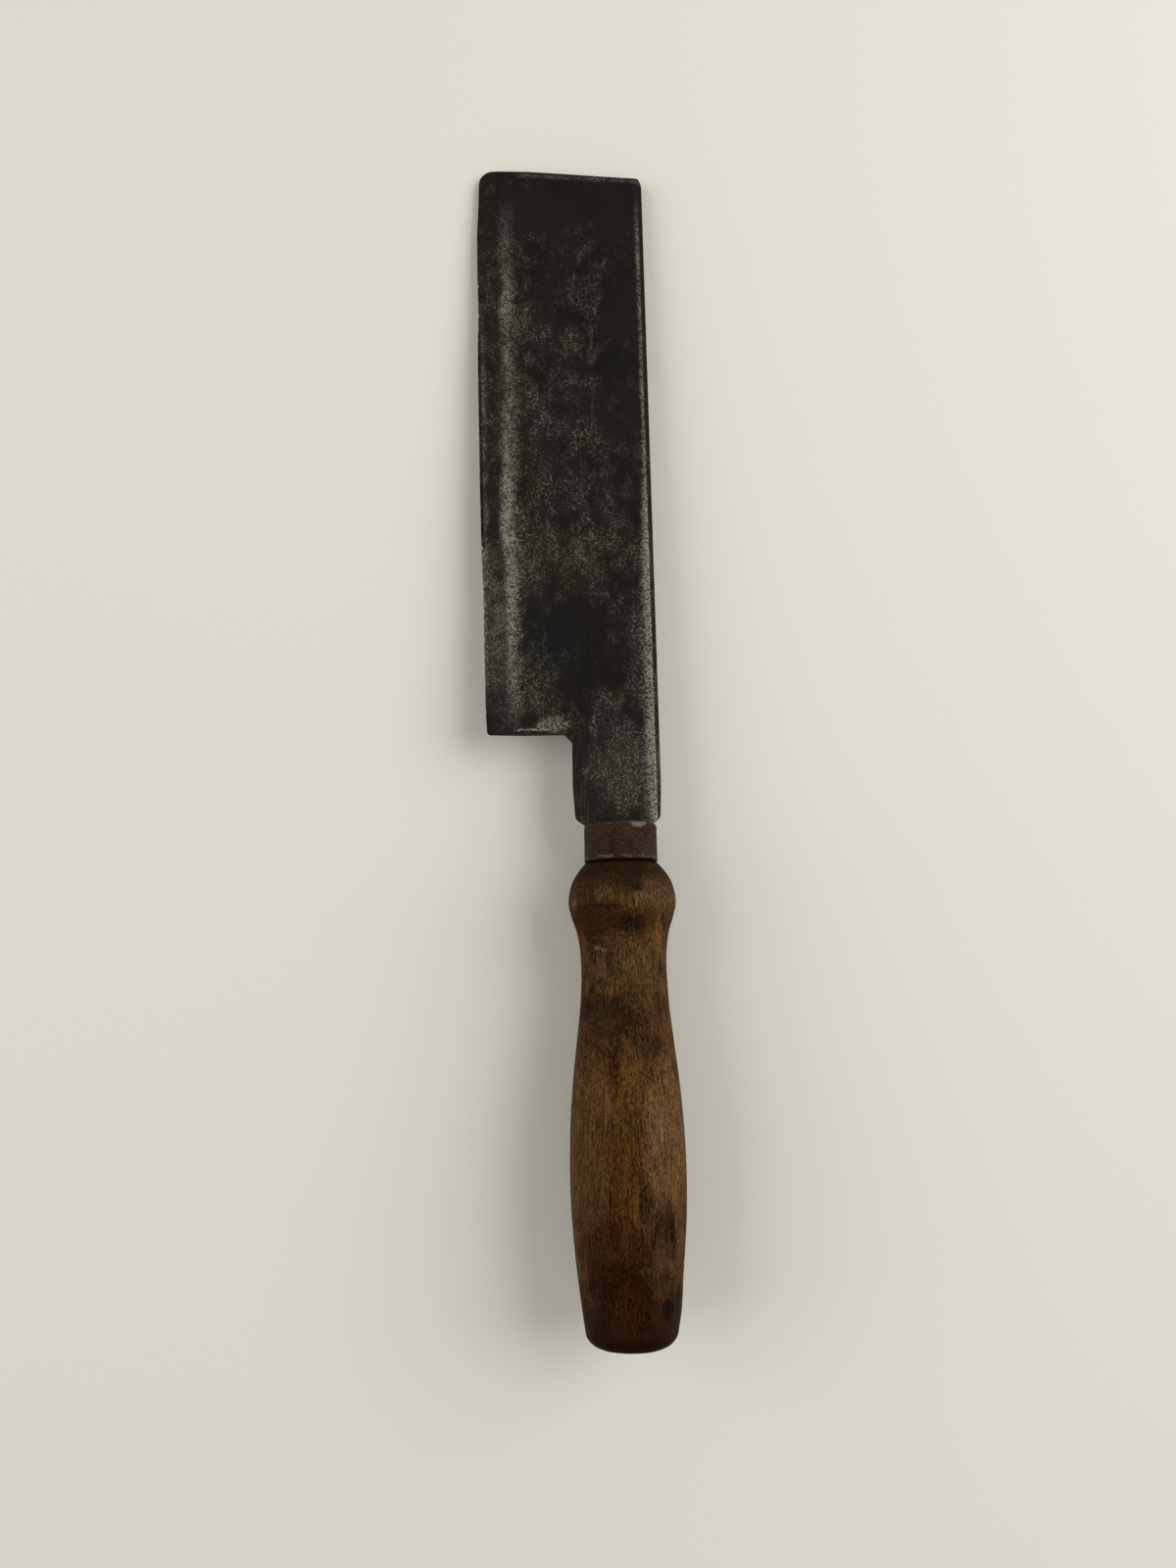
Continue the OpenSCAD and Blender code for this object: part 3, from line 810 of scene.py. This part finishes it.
class Nodes:
    """Writes the nodes of a material or a world as expressions."""

    def __init__(self, owner):
        owner.use_nodes = True
        self.owner = owner
        self.tree = owner.node_tree
        self.tree.nodes.clear()

    def put(self, socket, value):
        """Links a node's output to a socket, or writes a constant on it."""
        if isinstance(value, bpy.types.NodeSocket):
            self.tree.links.new(value, socket)
        else:
            socket.default_value = value

    def node(self, kind, *values, **settings):
        """A new node with its settings, and with values for its first inputs."""
        n = self.tree.nodes.new("ShaderNode" + kind)
        for key, setting in settings.items():
            setattr(n, key, setting)
        for socket, value in zip(n.inputs, values):
            self.put(socket, value)
        return n

    def math(self, op, a, b=0.0, clamp=False):
        return self.node("Math", a, b, operation=op, use_clamp=clamp).outputs[0]

    def chain(self, op, terms):
        total = terms[0]
        for term in terms[1:]:
            total = self.math(op, total, term)
        return total

    def add(self, *terms):
        return self.chain("ADD", terms)

    def mul(self, *terms):
        return self.chain("MULTIPLY", terms)

    def most(self, *terms):
        return self.chain("MAXIMUM", terms)

    def sub(self, a, b):
        return self.math("SUBTRACT", a, b)

    def ramp(self, value, low, high, out_low=0.0, out_high=1.0):
        """Smoothly from out_low to out_high as value goes from low to high."""
        if low > high:
            low, high, out_low, out_high = high, low, out_high, out_low
        n = self.node("MapRange", value, low, high, out_low, out_high, interpolation_type="SMOOTHSTEP")
        return n.outputs[0]

    def hill(self, value, centre, width):
        """1 at the centre, falling smoothly to 0 at width on both sides of it."""
        return self.ramp(self.math("ABSOLUTE", self.sub(value, centre)), 0.0, width, 1.0, 0.0)

    def curve(self, value, stops):
        """A smooth curve through (value, result) stops."""
        low, high = stops[0][0], stops[-1][0]
        n = self.node("ValToRGB", self.math("DIVIDE", self.sub(value, low), high - low, True))
        n.color_ramp.interpolation = "B_SPLINE"
        while len(n.color_ramp.elements) < len(stops):
            n.color_ramp.elements.new(0.5)
        for element, (at, result) in zip(n.color_ramp.elements, stops):
            element.position = (at - low) / (high - low)
            element.color = (result, result, result, 1.0)
        return n.outputs[0]

    def plateau(self, value, start, end, soft):
        """1 between start and end, fading over soft at both."""
        up = self.ramp(value, start - soft, start + soft)
        return self.mul(up, self.ramp(value, end - soft, end + soft, 1.0, 0.0))

    def blob(self, x, y, cx, cy, wx, wy):
        """A soft spot of half sizes wx and wy, 1 in its middle."""
        dx = self.math("DIVIDE", self.sub(x, cx), wx)
        dy = self.math("DIVIDE", self.sub(y, cy), wy)
        return self.ramp(self.add(self.mul(dx, dx), self.mul(dy, dy)), 0.0, 1.0, 1.0, 0.0)

    def patches(self, x, y, places):
        """The strongest of several soft spots, each (x, y, half width, half length, strength)."""
        return self.most(*[self.mul(self.blob(x, y, cx, cy, wx, wy), s) for cx, cy, wx, wy, s in places])

    def mix(self, factor, a, b):
        """Colour a, with b over it by the factor."""
        n = self.node("Mix", factor, data_type="RGBA")
        for socket, colour in ((n.inputs[6], a), (n.inputs[7], b)):
            self.put(socket, colour if isinstance(colour, bpy.types.NodeSocket) else (*colour, 1.0))
        return n.outputs[2]

    def mapped(self, point, shift, turn, size):
        """A point along axes that are moved, turned and scaled."""
        return self.node("Mapping", point, shift, turn, size, vector_type="TEXTURE").outputs[0]

    def tool_point(self):
        """The shaded point in the tool's own frame, in millimetres."""
        turn = tuple(Matrix(POSE.tolist()).to_euler("XYZ"))
        return self.mapped(self.node("TexCoord").outputs["Object"], tuple(SHIFT * MM), turn, (MM, MM, MM))

    def split(self, vector):
        return tuple(self.node("SeparateXYZ", vector).outputs)

    def join(self, x, y, z):
        return self.node("CombineXYZ", x, y, z).outputs[0]

    def noise(self, point, size, detail=2.0, rough=0.55, angle=0.0):
        """Noise of about 0.5; size is the features' size in mm, or one for each axis turned by angle."""
        sizes = size if isinstance(size, tuple) else (size, size, size)
        n = self.node("TexNoise", self.mapped(point, (0.0, 0.0, 0.0), (0.0, 0.0, angle), sizes))
        for key, value in (("Scale", 1.0), ("Detail", detail), ("Roughness", rough)):
            n.inputs[key].default_value = value
        return n.outputs[0]

    def bump(self, height, depth, strength=0.8):
        n = self.node("Bump", strength, depth * MM)
        self.put(n.inputs["Height"], height)
        return n.outputs[0]

    def finish(self, **sockets):
        """Gives the material, its shader's sockets set; _ in their names stands for a space."""
        shader = self.node("BsdfPrincipled")
        for key, value in sockets.items():
            self.put(shader.inputs[key.replace("_", " ")], value)
        self.node("OutputMaterial", shader.outputs[0])
        return self.owner


def blade_places(m):
    """What the blade's finish follows: the point, its distances from the edges, and noises."""
    p = m.tool_point()
    x, y, z = m.split(p)
    off = m.sub(y, BOW_Y)
    return SimpleNamespace(
        p=p, x=x, y=y, z=z,
        edge=m.sub(m.add(x, EDGE_REACH), m.mul(m.mul(off, off), 1 / (2 * EDGE_RADIUS))),
        spine=m.sub(m.sub(SPINE_OFFSET, m.mul(y, SPINE_LEAN)), x),
        tip=m.sub(m.add(TIP_Y, m.mul(m.sub(TIP_SPINE_X, x), TIP_MEAN_RAKE)), y),
        heel=m.sub(y, HEEL_Y),
        neck=m.ramp(y, 27, 17),
        ragged=m.sub(m.noise(p, 2.2, 3, 0.7), 0.5),
        wander=m.sub(m.noise(p, (9, 13, 9), 3), 0.5),
        uneven=m.sub(m.noise(p, (5, 6, 5), 3, 0.6), 0.5),
        tone=m.noise(p, (14, 18, 14), 3),
        cloud=m.noise(p, (3.6, 5.0, 3.6), 5, 0.6),
        speck=m.noise(p, 0.66, 3, 0.7),
        grit=m.noise(p, 0.36, 2, 0.6),
    )


def shoulder_wear_and_glint(m, at):
    """The shoulder of the edge bevel, worn bright and in part a painted highlight: its edge side is fairly
    sharp, its other side ragged.
    """
    drift = m.add(m.ramp(at.y, 90, 72, 0.0, -0.6), m.ramp(at.y, 74, 48, 0.0, 1.3), m.hill(at.y, 80, 24))
    d = m.add(at.edge, m.mul(at.wander, 2.8), drift, m.mul(at.ragged, 0.8))
    outer = m.ramp(d, 5.4, 8.2)
    inner = m.ramp(m.add(d, m.mul(at.ragged, 5.0), m.mul(at.uneven, 4.5)), 8.3, 11.8, 1, 0)
    patchy = m.ramp(m.add(m.mul(at.uneven, 0.6), m.mul(at.wander, 0.7)), -0.13, 0.12, 0.36, 1.24)
    return m.mul(outer, inner, m.curve(at.y, SHOULDER_BRIGHTNESS), patchy)


def bevel_wear(m, at):
    """The bevel's face, bare by the heel, and a rubbed strip and a honed line along the edge."""
    face = m.mul(m.ramp(at.edge, 8.0, 5.5), m.plateau(at.y, 42, 76, 10),
                 m.ramp(at.uneven, -0.15, 0.15, 0.05, 0.28), m.ramp(at.y, 84, 60, 0.6, 1.0))
    strip = m.mul(m.ramp(m.add(at.edge, m.mul(at.ragged, 3.5)), 3.0, 0.9), m.plateau(at.y, 46, 140, 12),
                  m.ramp(at.uneven, -0.15, 0.12, 0.08, 0.44))
    honed = m.mul(m.ramp(m.add(at.edge, m.mul(at.ragged, 1.6)), 1.7, 0.7), m.plateau(at.y, 42, 142, 12),
                  m.ramp(at.uneven, -0.12, 0.12, 0.3, 0.6), m.ramp(at.y, 62, 76, 1.0, 0.78))
    return m.most(face, strip, honed)


def spine_wear_and_glint(m, at):
    """The spine's inner corner, worn bright and in part a painted highlight, widening towards the heel, with
    a brighter core by the neck.
    """
    width = m.ramp(at.y, 120, 40, 1.0, 2.9)
    over = m.math("DIVIDE", m.sub(m.add(at.spine, m.mul(at.ragged, 2.0)), SPINE_BEVEL + 0.2), width)
    corner = m.mul(m.ramp(at.spine, SPINE_BEVEL - 0.3, SPINE_BEVEL + 0.3), m.ramp(over, 0.1, 1.1, 1, 0),
                   m.ramp(at.y, 150, 60, 0.42, 0.86), m.ramp(at.y, 181, 165),
                   m.ramp(at.uneven, -0.15, 0.1, 0.65, 1.05))
    core = m.mul(m.hill(at.spine, SPINE_BEVEL + 0.55, 0.55), m.ramp(at.y, 70, 22), m.ramp(at.y, 3, 8),
                 m.ramp(at.uneven, -0.12, 0.08, 0.4, 1.0))
    return m.most(corner, core)


def end_wear_and_glint(m, at):
    """The corners of the tip and the heel, and a rubbed place above the heel; the tip's bright line is in
    part a painted highlight.
    """
    tip = m.mul(m.hill(m.add(at.tip, m.mul(at.ragged, 0.9)), 1.35, 1.05), m.ramp(at.edge, 8, 16), 0.3,
                m.ramp(at.uneven, -0.12, 0.1, 0.4, 1.0))
    heel = m.mul(m.hill(at.heel, 0.85, 0.5), m.plateau(at.x, -27, -17.5, 1.2), 0.9)
    smear = m.add(m.blob(at.x, at.y, *SMEAR_PLACE, 6.5, 3.6), m.mul(at.ragged, 2.0), m.mul(at.uneven, 1.5))
    smear = m.mul(m.ramp(smear, 0.2, 1.2, 0.0, 0.46), m.blob(at.x, at.y, *SMEAR_PLACE, 9.0, 5.0))
    return m.most(tip, heel, smear)


def blade_wear_and_glint(m, at):
    """How far the high places show bright, from 0 to 1: worn bare steel, and in part a painted highlight on
    the rounded shoulders by the edge, spine and tip.
    """
    wear_and_glint = m.most(shoulder_wear_and_glint(m, at), bevel_wear(m, at), spine_wear_and_glint(m, at), end_wear_and_glint(m, at))
    # painted shadow: the brightness is taken off a thin line along the outermost edge, from the largest nick
    # by the heel to the tip, where the edge's shadow lies
    edge_shadow_line = m.mul(m.ramp(at.edge, 1.3, 0.8), m.ramp(at.y, LARGEST_NICK_Y - 0.4, LARGEST_NICK_Y + 0.4))
    wear_and_glint = m.mul(wear_and_glint, m.sub(1.0, edge_shadow_line))
    # the lower side has been rubbed less
    return m.mul(wear_and_glint, m.ramp(at.z, -1.5, 1.5, 0.75, 1.0))


def oxide_skin(m, at):
    """Colour of the steel's skin: brown-black, bluer, browner or redder in places, with painted shade on the
    spine's bevel and along the cutting edge.
    """
    skin = m.mix(m.ramp(at.tone, 0.38, 0.62), SKIN_BLACK, SKIN_BROWN)
    skin = m.mix(m.blob(at.x, at.y, *BLUE_PLACE, 13, 13), skin, SKIN_BLUE)
    skin = m.mix(m.mul(m.blob(at.x, at.y, *OLIVE_PLACE, 9, 10), 0.6), skin, SKIN_OLIVE)
    skin = m.mix(m.mul(m.ramp(at.edge, 6.5, 4.5), m.ramp(at.heel, 3, 20), 0.6), skin, SKIN_BEVEL)
    skin = m.mix(m.mul(at.neck, m.ramp(at.x, -11.5, -7, 0.1, 0.6)), skin, SKIN_NECK)
    rust = m.mul(m.ramp(m.noise(at.p, (2.2, 3.0, 2.2), 3, 0.6), 0.6, 0.7), 0.5)
    skin = m.mix(rust, skin, SKIN_RUST)
    skin = m.mix(m.ramp(at.grit, 0.35, 0.65, 0.4, 0.0), skin, SKIN_GRIT)
    # painted shade: the spine's bevel and the outermost strip of the cutting edge are darkened nearly to
    # black, for the shade on the bevel and the shadow under the edge
    rim = m.most(m.ramp(at.spine, SPINE_BEVEL, SPINE_BEVEL - 0.5), m.ramp(at.edge, 0.85, 0.5))
    skin = m.mix(m.mul(rim, 0.7), skin, RIM_SHADE_BLACK)
    red = m.mul(m.hill(at.spine, 2.0, 1.2), m.plateau(at.y, 150, 178, 8), m.ramp(at.speck, 0.4, 0.6), 0.8)
    return m.mix(red, skin, SPINE_RED)


def thin_patina(m, at):
    """A haze of grey iron where the skin is rubbed thin, broken into grains, from 0 to 1."""
    beside_shoulder = m.mul(m.ramp(at.edge, 24, 9), m.curve(at.y, SHOULDER_BRIGHTNESS), m.ramp(at.edge, 6, 9),
                            0.75)
    on_bevel = m.mul(m.ramp(at.edge, 7, 5), m.ramp(at.y, 84, 112), 0.45)
    by_spine = m.mul(m.ramp(at.spine, 7, 1.5), m.ramp(at.y, 120, 60), 0.6)
    on_neck = m.mul(at.neck, m.ramp(at.y, 2, 10), m.ramp(at.x, -10, 5, -0.35, 0.9))
    thin = m.add(m.patches(at.x, at.y, THIN_PATCHES), beside_shoulder, on_bevel, by_spine, on_neck)
    # places that have kept more skin: by the heel, at the tip, and on the spine's side before it
    calm = m.add(m.mul(m.blob(at.x, at.y, *CALM_PLACE, 17, 17), 0.12), m.ramp(at.y, 160, 176, 0.0, 0.1),
                 m.mul(m.ramp(at.x, -5, 3), m.ramp(at.y, 100, 125), 0.07))
    haze = m.ramp(m.sub(m.add(at.cloud, m.mul(thin, 0.175)), calm), 0.44, 0.92)
    streak = m.noise(at.p, (0.5, 4.0, 0.5), 2, 0.6)
    grain = m.add(m.mul(at.speck, 0.42), m.mul(at.grit, 0.46), m.mul(streak, 0.12))
    return m.math("MULTIPLY", haze, m.ramp(grain, 0.49, 0.615, 0.04, 1.85), clamp=True)


def blade_scratches(m, at):
    """Fine lines along the tool and slanting grinding marks: how strongly they show, and relief."""
    lengthwise = m.ramp(m.noise(at.p, (0.3, 7, 9), 2), 0.5, 0.68)
    long_line = m.mul(m.hill(at.x, -4.9, 1.0), m.plateau(at.y, 95, 160, 12), 0.4)
    fine = m.mul(lengthwise, m.add(m.mul(at.neck, m.ramp(at.cloud, 0.35, 0.6, 0.08, 0.42)), long_line))
    slanting = m.ramp(m.noise(at.p, (3.0, 0.42, 3), 2, 0.6, GRINDING_ANGLE), 0.5, 0.66)
    ground = m.mul(m.ramp(at.edge, 10.5, 7.5), m.ramp(at.y, 66, 56), m.ramp(at.heel, 1, 12), slanting)
    shown = m.mul(m.most(fine, m.mul(ground, 0.45)), 0.6)
    return shown, m.add(m.mul(lengthwise, 0.06), m.mul(ground, 0.2))


def blade_material():
    m = Nodes(bpy.data.materials.new("blade_steel"))
    at = blade_places(m)
    fleck = thin_patina(m, at)
    tint = m.mix(m.ramp(at.tone, 0.45, 0.6), HAZE_WARM, HAZE_GREY)
    tint = m.mix(m.mul(m.blob(at.x, at.y, *OLIVE_PLACE, 12, 11), 0.7), tint, HAZE_OLIVE)
    colour = m.mix(fleck, oxide_skin(m, at), tint)
    scratch, marks = blade_scratches(m, at)
    colour = m.mix(scratch, colour, SCRATCH_GREY)
    # worn high places keep dark specks of skin; their bright colour is worn bare steel and in part a painted
    # highlight
    high = blade_wear_and_glint(m, at)
    stipple = m.ramp(m.add(m.mul(at.speck, 0.5), m.mul(at.grit, 0.5)), 0.435, 0.56, 0.0, 1.5)
    wear_and_glint = m.math("MULTIPLY", high, m.add(stipple, m.mul(high, 0.1)), clamp=True)
    colour = m.mix(wear_and_glint, colour, BARE_STEEL_AND_GLINT)
    pits = m.mul(m.ramp(m.noise(at.p, 0.8, 2, 0.5), 0.36, 0.27), 0.8)
    colour = m.mix(pits, colour, PIT_BLACK)

    rough = m.add(0.62, m.mul(m.sub(at.speck, 0.5), 0.3), m.mul(wear_and_glint, -0.14), m.mul(fleck, -0.06))
    metal = m.add(m.mul(wear_and_glint, 0.45), m.mul(fleck, 0.1))
    relief = m.add(m.mul(at.speck, 0.45), m.mul(at.grit, 0.2), m.mul(pits, -0.5), marks)
    return m.finish(Base_Color=colour, Roughness=rough, Metallic=metal, Specular_IOR_Level=0.06,
                    Normal=m.bump(relief, 0.1))


def ferrule_material():
    m = Nodes(bpy.data.materials.new("ferrule_iron"))
    p = m.tool_point()
    x, y, z = m.split(p)
    cloud = m.noise(p, 2.8, 4, 0.6)
    speck = m.noise(p, 0.55, 3, 0.68)
    grit = m.noise(p, 0.36, 2, 0.6)
    colour = m.mix(m.ramp(cloud, 0.35, 0.65), IRON_DARK, IRON_RUST)
    # painted sheen and shade: the ferrule turns from darker along its top to lighter and greyer towards both
    # sides, as seen from above
    colour = m.mix(m.mul(m.ramp(m.math("ABSOLUTE", x), 4.5, 9), 0.7), colour, IRON_SIDE_SHEEN)
    grains = m.ramp(m.add(m.mul(speck, 0.5), m.mul(grit, 0.5)), 0.44, 0.62, 0.0, 0.55)
    colour = m.mix(grains, colour, IRON_GRAIN)
    colour = m.mix(m.ramp(speck, 0.6, 0.7), colour, IRON_SPECK)
    colour = m.mix(m.ramp(speck, 0.42, 0.3, 0.0, 0.7), colour, IRON_PIT)
    # rubbed front rim, light rear lip, and a bare patch beside the neck
    rim = m.mul(m.hill(y, -0.4, 0.7), m.ramp(speck, 0.4, 0.6))
    colour = m.mix(m.mul(rim, 0.4), colour, IRON_RIM)
    lip_y = m.add(y, m.mul(m.sub(cloud, 0.5), 1.6))
    lip = m.mul(m.hill(lip_y, -8.9, 0.5), m.ramp(m.noise(p, (1.6, 3, 1.6), 2), 0.42, 0.56), 0.75)
    colour = m.mix(lip, colour, IRON_LIP)
    bare = m.add(m.blob(x, y, 4.4, -0.4, 2.9, 2.0), m.mul(m.sub(cloud, 0.5), 1.8),
                 m.mul(m.sub(speck, 0.5), 2.4))
    bare = m.mul(m.ramp(bare, 0.35, 0.9), m.ramp(z, 0, 3), m.blob(x, y, 4.6, -0.5, 3.0, 2.6))
    colour = m.mix(m.mul(bare, m.ramp(grit, 0.35, 0.55, 0.3, 0.95)), colour, IRON_BARE)
    # painted shade: the ferrule's rear end, in the crevice against the handle's bulb, is darkened nearly to
    # black
    colour = m.mix(m.ramp(y, -9.3, -9.75), colour, IRON_REAR_SHADE)

    rough = m.add(0.55, m.mul(m.sub(speck, 0.5), 0.3))
    metal = m.mul(m.most(bare, m.mul(rim, 0.5)), 0.5)
    relief = m.add(m.mul(speck, 0.6), m.mul(m.noise(p, 0.22), 0.3))
    return m.finish(Base_Color=colour, Roughness=rough, Metallic=metal, Specular_IOR_Level=0.04,
                    Normal=m.bump(relief, 0.1))


def wood_places(m):
    """What the handle's finish follows: the point, and noises drawn out along its bent grain."""
    p = m.tool_point()
    x, y, z = m.split(p)
    bend = m.sub(m.noise(p, (9, 22, 9), 3), 0.5)
    grain = m.join(m.add(x, m.mul(bend, 2.4)), y, m.add(z, m.mul(bend, 2.0)))
    return SimpleNamespace(
        p=p, x=x, y=y, z=z,
        upper=m.ramp(z, -3, 3),
        broad=m.noise(grain, (3.0, 30, 3.0), 3),
        fibre=m.noise(grain, (0.3, 8.0, 0.3), 3, 0.6),
        hair=m.noise(grain, (0.24, 1.0, 0.24), 2, 0.6),
        pores=m.ramp(m.noise(grain, (0.26, 2.2, 0.26), 1), 0.42, 0.32),
        flame=m.noise(p, (4.5, 6, 4.5), 4, 0.66),
        stain=m.noise(p, (2.2, 3.4, 2.2), 4, 0.7),
    )


def placed_tones(m, at, colour):
    """The handle's lighter and darker places, a few of them painted sheen and painted shade, with ragged
    edges and the same grain.
    """
    breakup = m.mul(m.sub(m.add(m.mul(at.stain, 0.6), m.mul(at.fibre, 0.4)), 0.5), 3.2)
    streaks = m.ramp(m.add(m.mul(at.fibre, 0.45), m.mul(at.hair, 0.55)), 0.44, 0.57)
    for cx, cy, wx, wy, strength, tone in WOOD_TONES_SHEEN_AND_SHADE:
        near = m.mul(m.blob(at.x, at.y, cx, cy, wx * 1.2, wy * 1.2), at.upper)
        mask = m.ramp(m.add(near, m.mul(breakup, m.ramp(near, 0, 0.15))), 0.12, 0.75, 0.0, strength)
        grained = m.mix(streaks, tuple(c * 0.4 for c in tone), tuple(c * 1.45 for c in tone))
        colour = m.mix(mask, colour, grained)
    return colour


def end_tones(m, at, colour):
    """The turned rings below the bulb, painted shade just under the bulb's widest part on the left, the
    grime behind the ferrule, painted shade in the gap just behind the ferrule, and the darker butt.
    """
    rings = m.mul(m.ramp(m.noise(at.p, (7, 0.45, 7), 2), 0.5, 0.62), m.blob(at.x, at.y, -4, -29, 10, 5),
                  at.upper, 0.6)
    colour = m.mix(rings, colour, TURNED_RING)
    # painted shade: a dark line just under the bulb's widest part, on its left side only
    line_y = m.add(at.y, m.sub(at.flame, 0.5))
    line = m.mul(m.hill(line_y, -21.6, 0.7), m.ramp(at.x, 2, -4), at.upper, 0.5)
    colour = m.mix(line, colour, BULB_SHADE_LINE)
    front_y = m.add(at.y, m.mul(m.sub(at.flame, 0.5), 9.0))
    front = m.mul(m.ramp(front_y, -19.0, -12.0), m.ramp(at.hair, 0.36, 0.62, 0.93, 0.74))
    colour = m.mix(front, colour, FRONT_GRIME)
    colour = m.mix(m.ramp(at.y, -10.8, -10.3, 0.0, 0.8), colour, FRONT_SHADE)
    colour = m.mix(m.ramp(at.y, -112.0, -124.0, 0.0, 0.45), colour, BUTT_BROWN)
    return m.mix(m.ramp(at.y, -122.0, -126.5, 0.0, 0.85), colour, END_GRAIN)


def handle_material():
    m = Nodes(bpy.data.materials.new("handle_wood"))
    at = wood_places(m)
    tone = m.add(m.mul(at.broad, 0.2), m.mul(at.fibre, 0.27), m.mul(at.hair, 0.32), m.mul(at.flame, 0.21))
    colour = m.mix(m.ramp(tone, 0.43, 0.58), WOOD_DARK, WOOD_LIGHT)
    brown = m.mul(m.ramp(m.noise(at.p, (5, 12, 5), 3, 0.6), 0.48, 0.66), 0.5)
    colour = m.mix(brown, colour, WOOD_BROWN)
    colour = placed_tones(m, at, colour)
    dirt = m.mul(m.ramp(at.stain, 0.5, 0.66), m.ramp(at.flame, 0.42, 0.6), 0.4)
    colour = m.mix(dirt, colour, WOOD_DIRT)
    colour = m.mix(m.mul(at.pores, 0.35), colour, WOOD_PORE)
    colour = end_tones(m, at, colour)

    rough = m.add(0.5, m.mul(m.sub(at.fibre, 0.5), 0.25), m.mul(dirt, 0.12), m.mul(at.pores, 0.1))
    relief = m.add(m.mul(at.fibre, 0.4), m.mul(at.hair, 0.25), m.mul(at.pores, -0.5))
    return m.finish(Base_Color=colour, Roughness=rough, Specular_IOR_Level=0.02, Normal=m.bump(relief, 0.12))


def floor_material():
    m = Nodes(bpy.data.materials.new("floor"))
    return m.finish(Base_Color=FLOOR_COLOUR, Roughness=0.9)


# Stage, light and camera


def build_floor():
    s = FLOOR_HALF
    mesh = bpy.data.meshes.new("floor")
    mesh.from_pydata([(-s, -s, 0), (s, -s, 0), (s, s, 0), (-s, s, 0)], [], [(0, 1, 2, 3)])
    mesh.materials.append(floor_material())
    floor = add_object("floor", mesh)


def build_world():
    """The room's light, which comes in from the sides more than from overhead."""
    m = Nodes(bpy.data.worlds.new("studio"))
    height = m.split(m.node("TexCoord").outputs["Generated"])[2]
    strength = m.node("MapRange", height, 0.0, 1.0, WALL_LIGHT, CEILING_LIGHT).outputs[0]
    m.node("OutputWorld", m.node("Background", ROOM_COLOUR, strength).outputs[0])
    bpy.context.scene.world = m.owner


def build_lamps():
    """Square soft lamps, each (name, place, side, power, colour), turned to the tool."""
    for name, place, side, power, colour in LAMPS:
        light = bpy.data.lights.new(name, "AREA")
        light.size, light.energy, light.color = side, power, colour
        lamp = add_object(name, light)
        lamp.location = place
        lamp.rotation_euler = (-Vector(place)).to_track_quat("-Z", "Y").to_euler()


def build_camera():
    data = bpy.data.cameras.new("camera")
    data.sensor_fit = "VERTICAL"
    data.sensor_height = CAMERA_SENSOR
    data.lens = CAMERA_LENS
    camera = add_object("camera", data)
    camera.location = CAMERA_PLACE
    camera.rotation_euler = CAMERA_TURN
    bpy.context.scene.camera = camera
    bpy.context.scene.view_settings.view_transform = "Standard"


build_camera()
build_floor()
build_world()
build_lamps()
build_blade(blade_material())
build_ferrule(ferrule_material())
build_handle(handle_material())
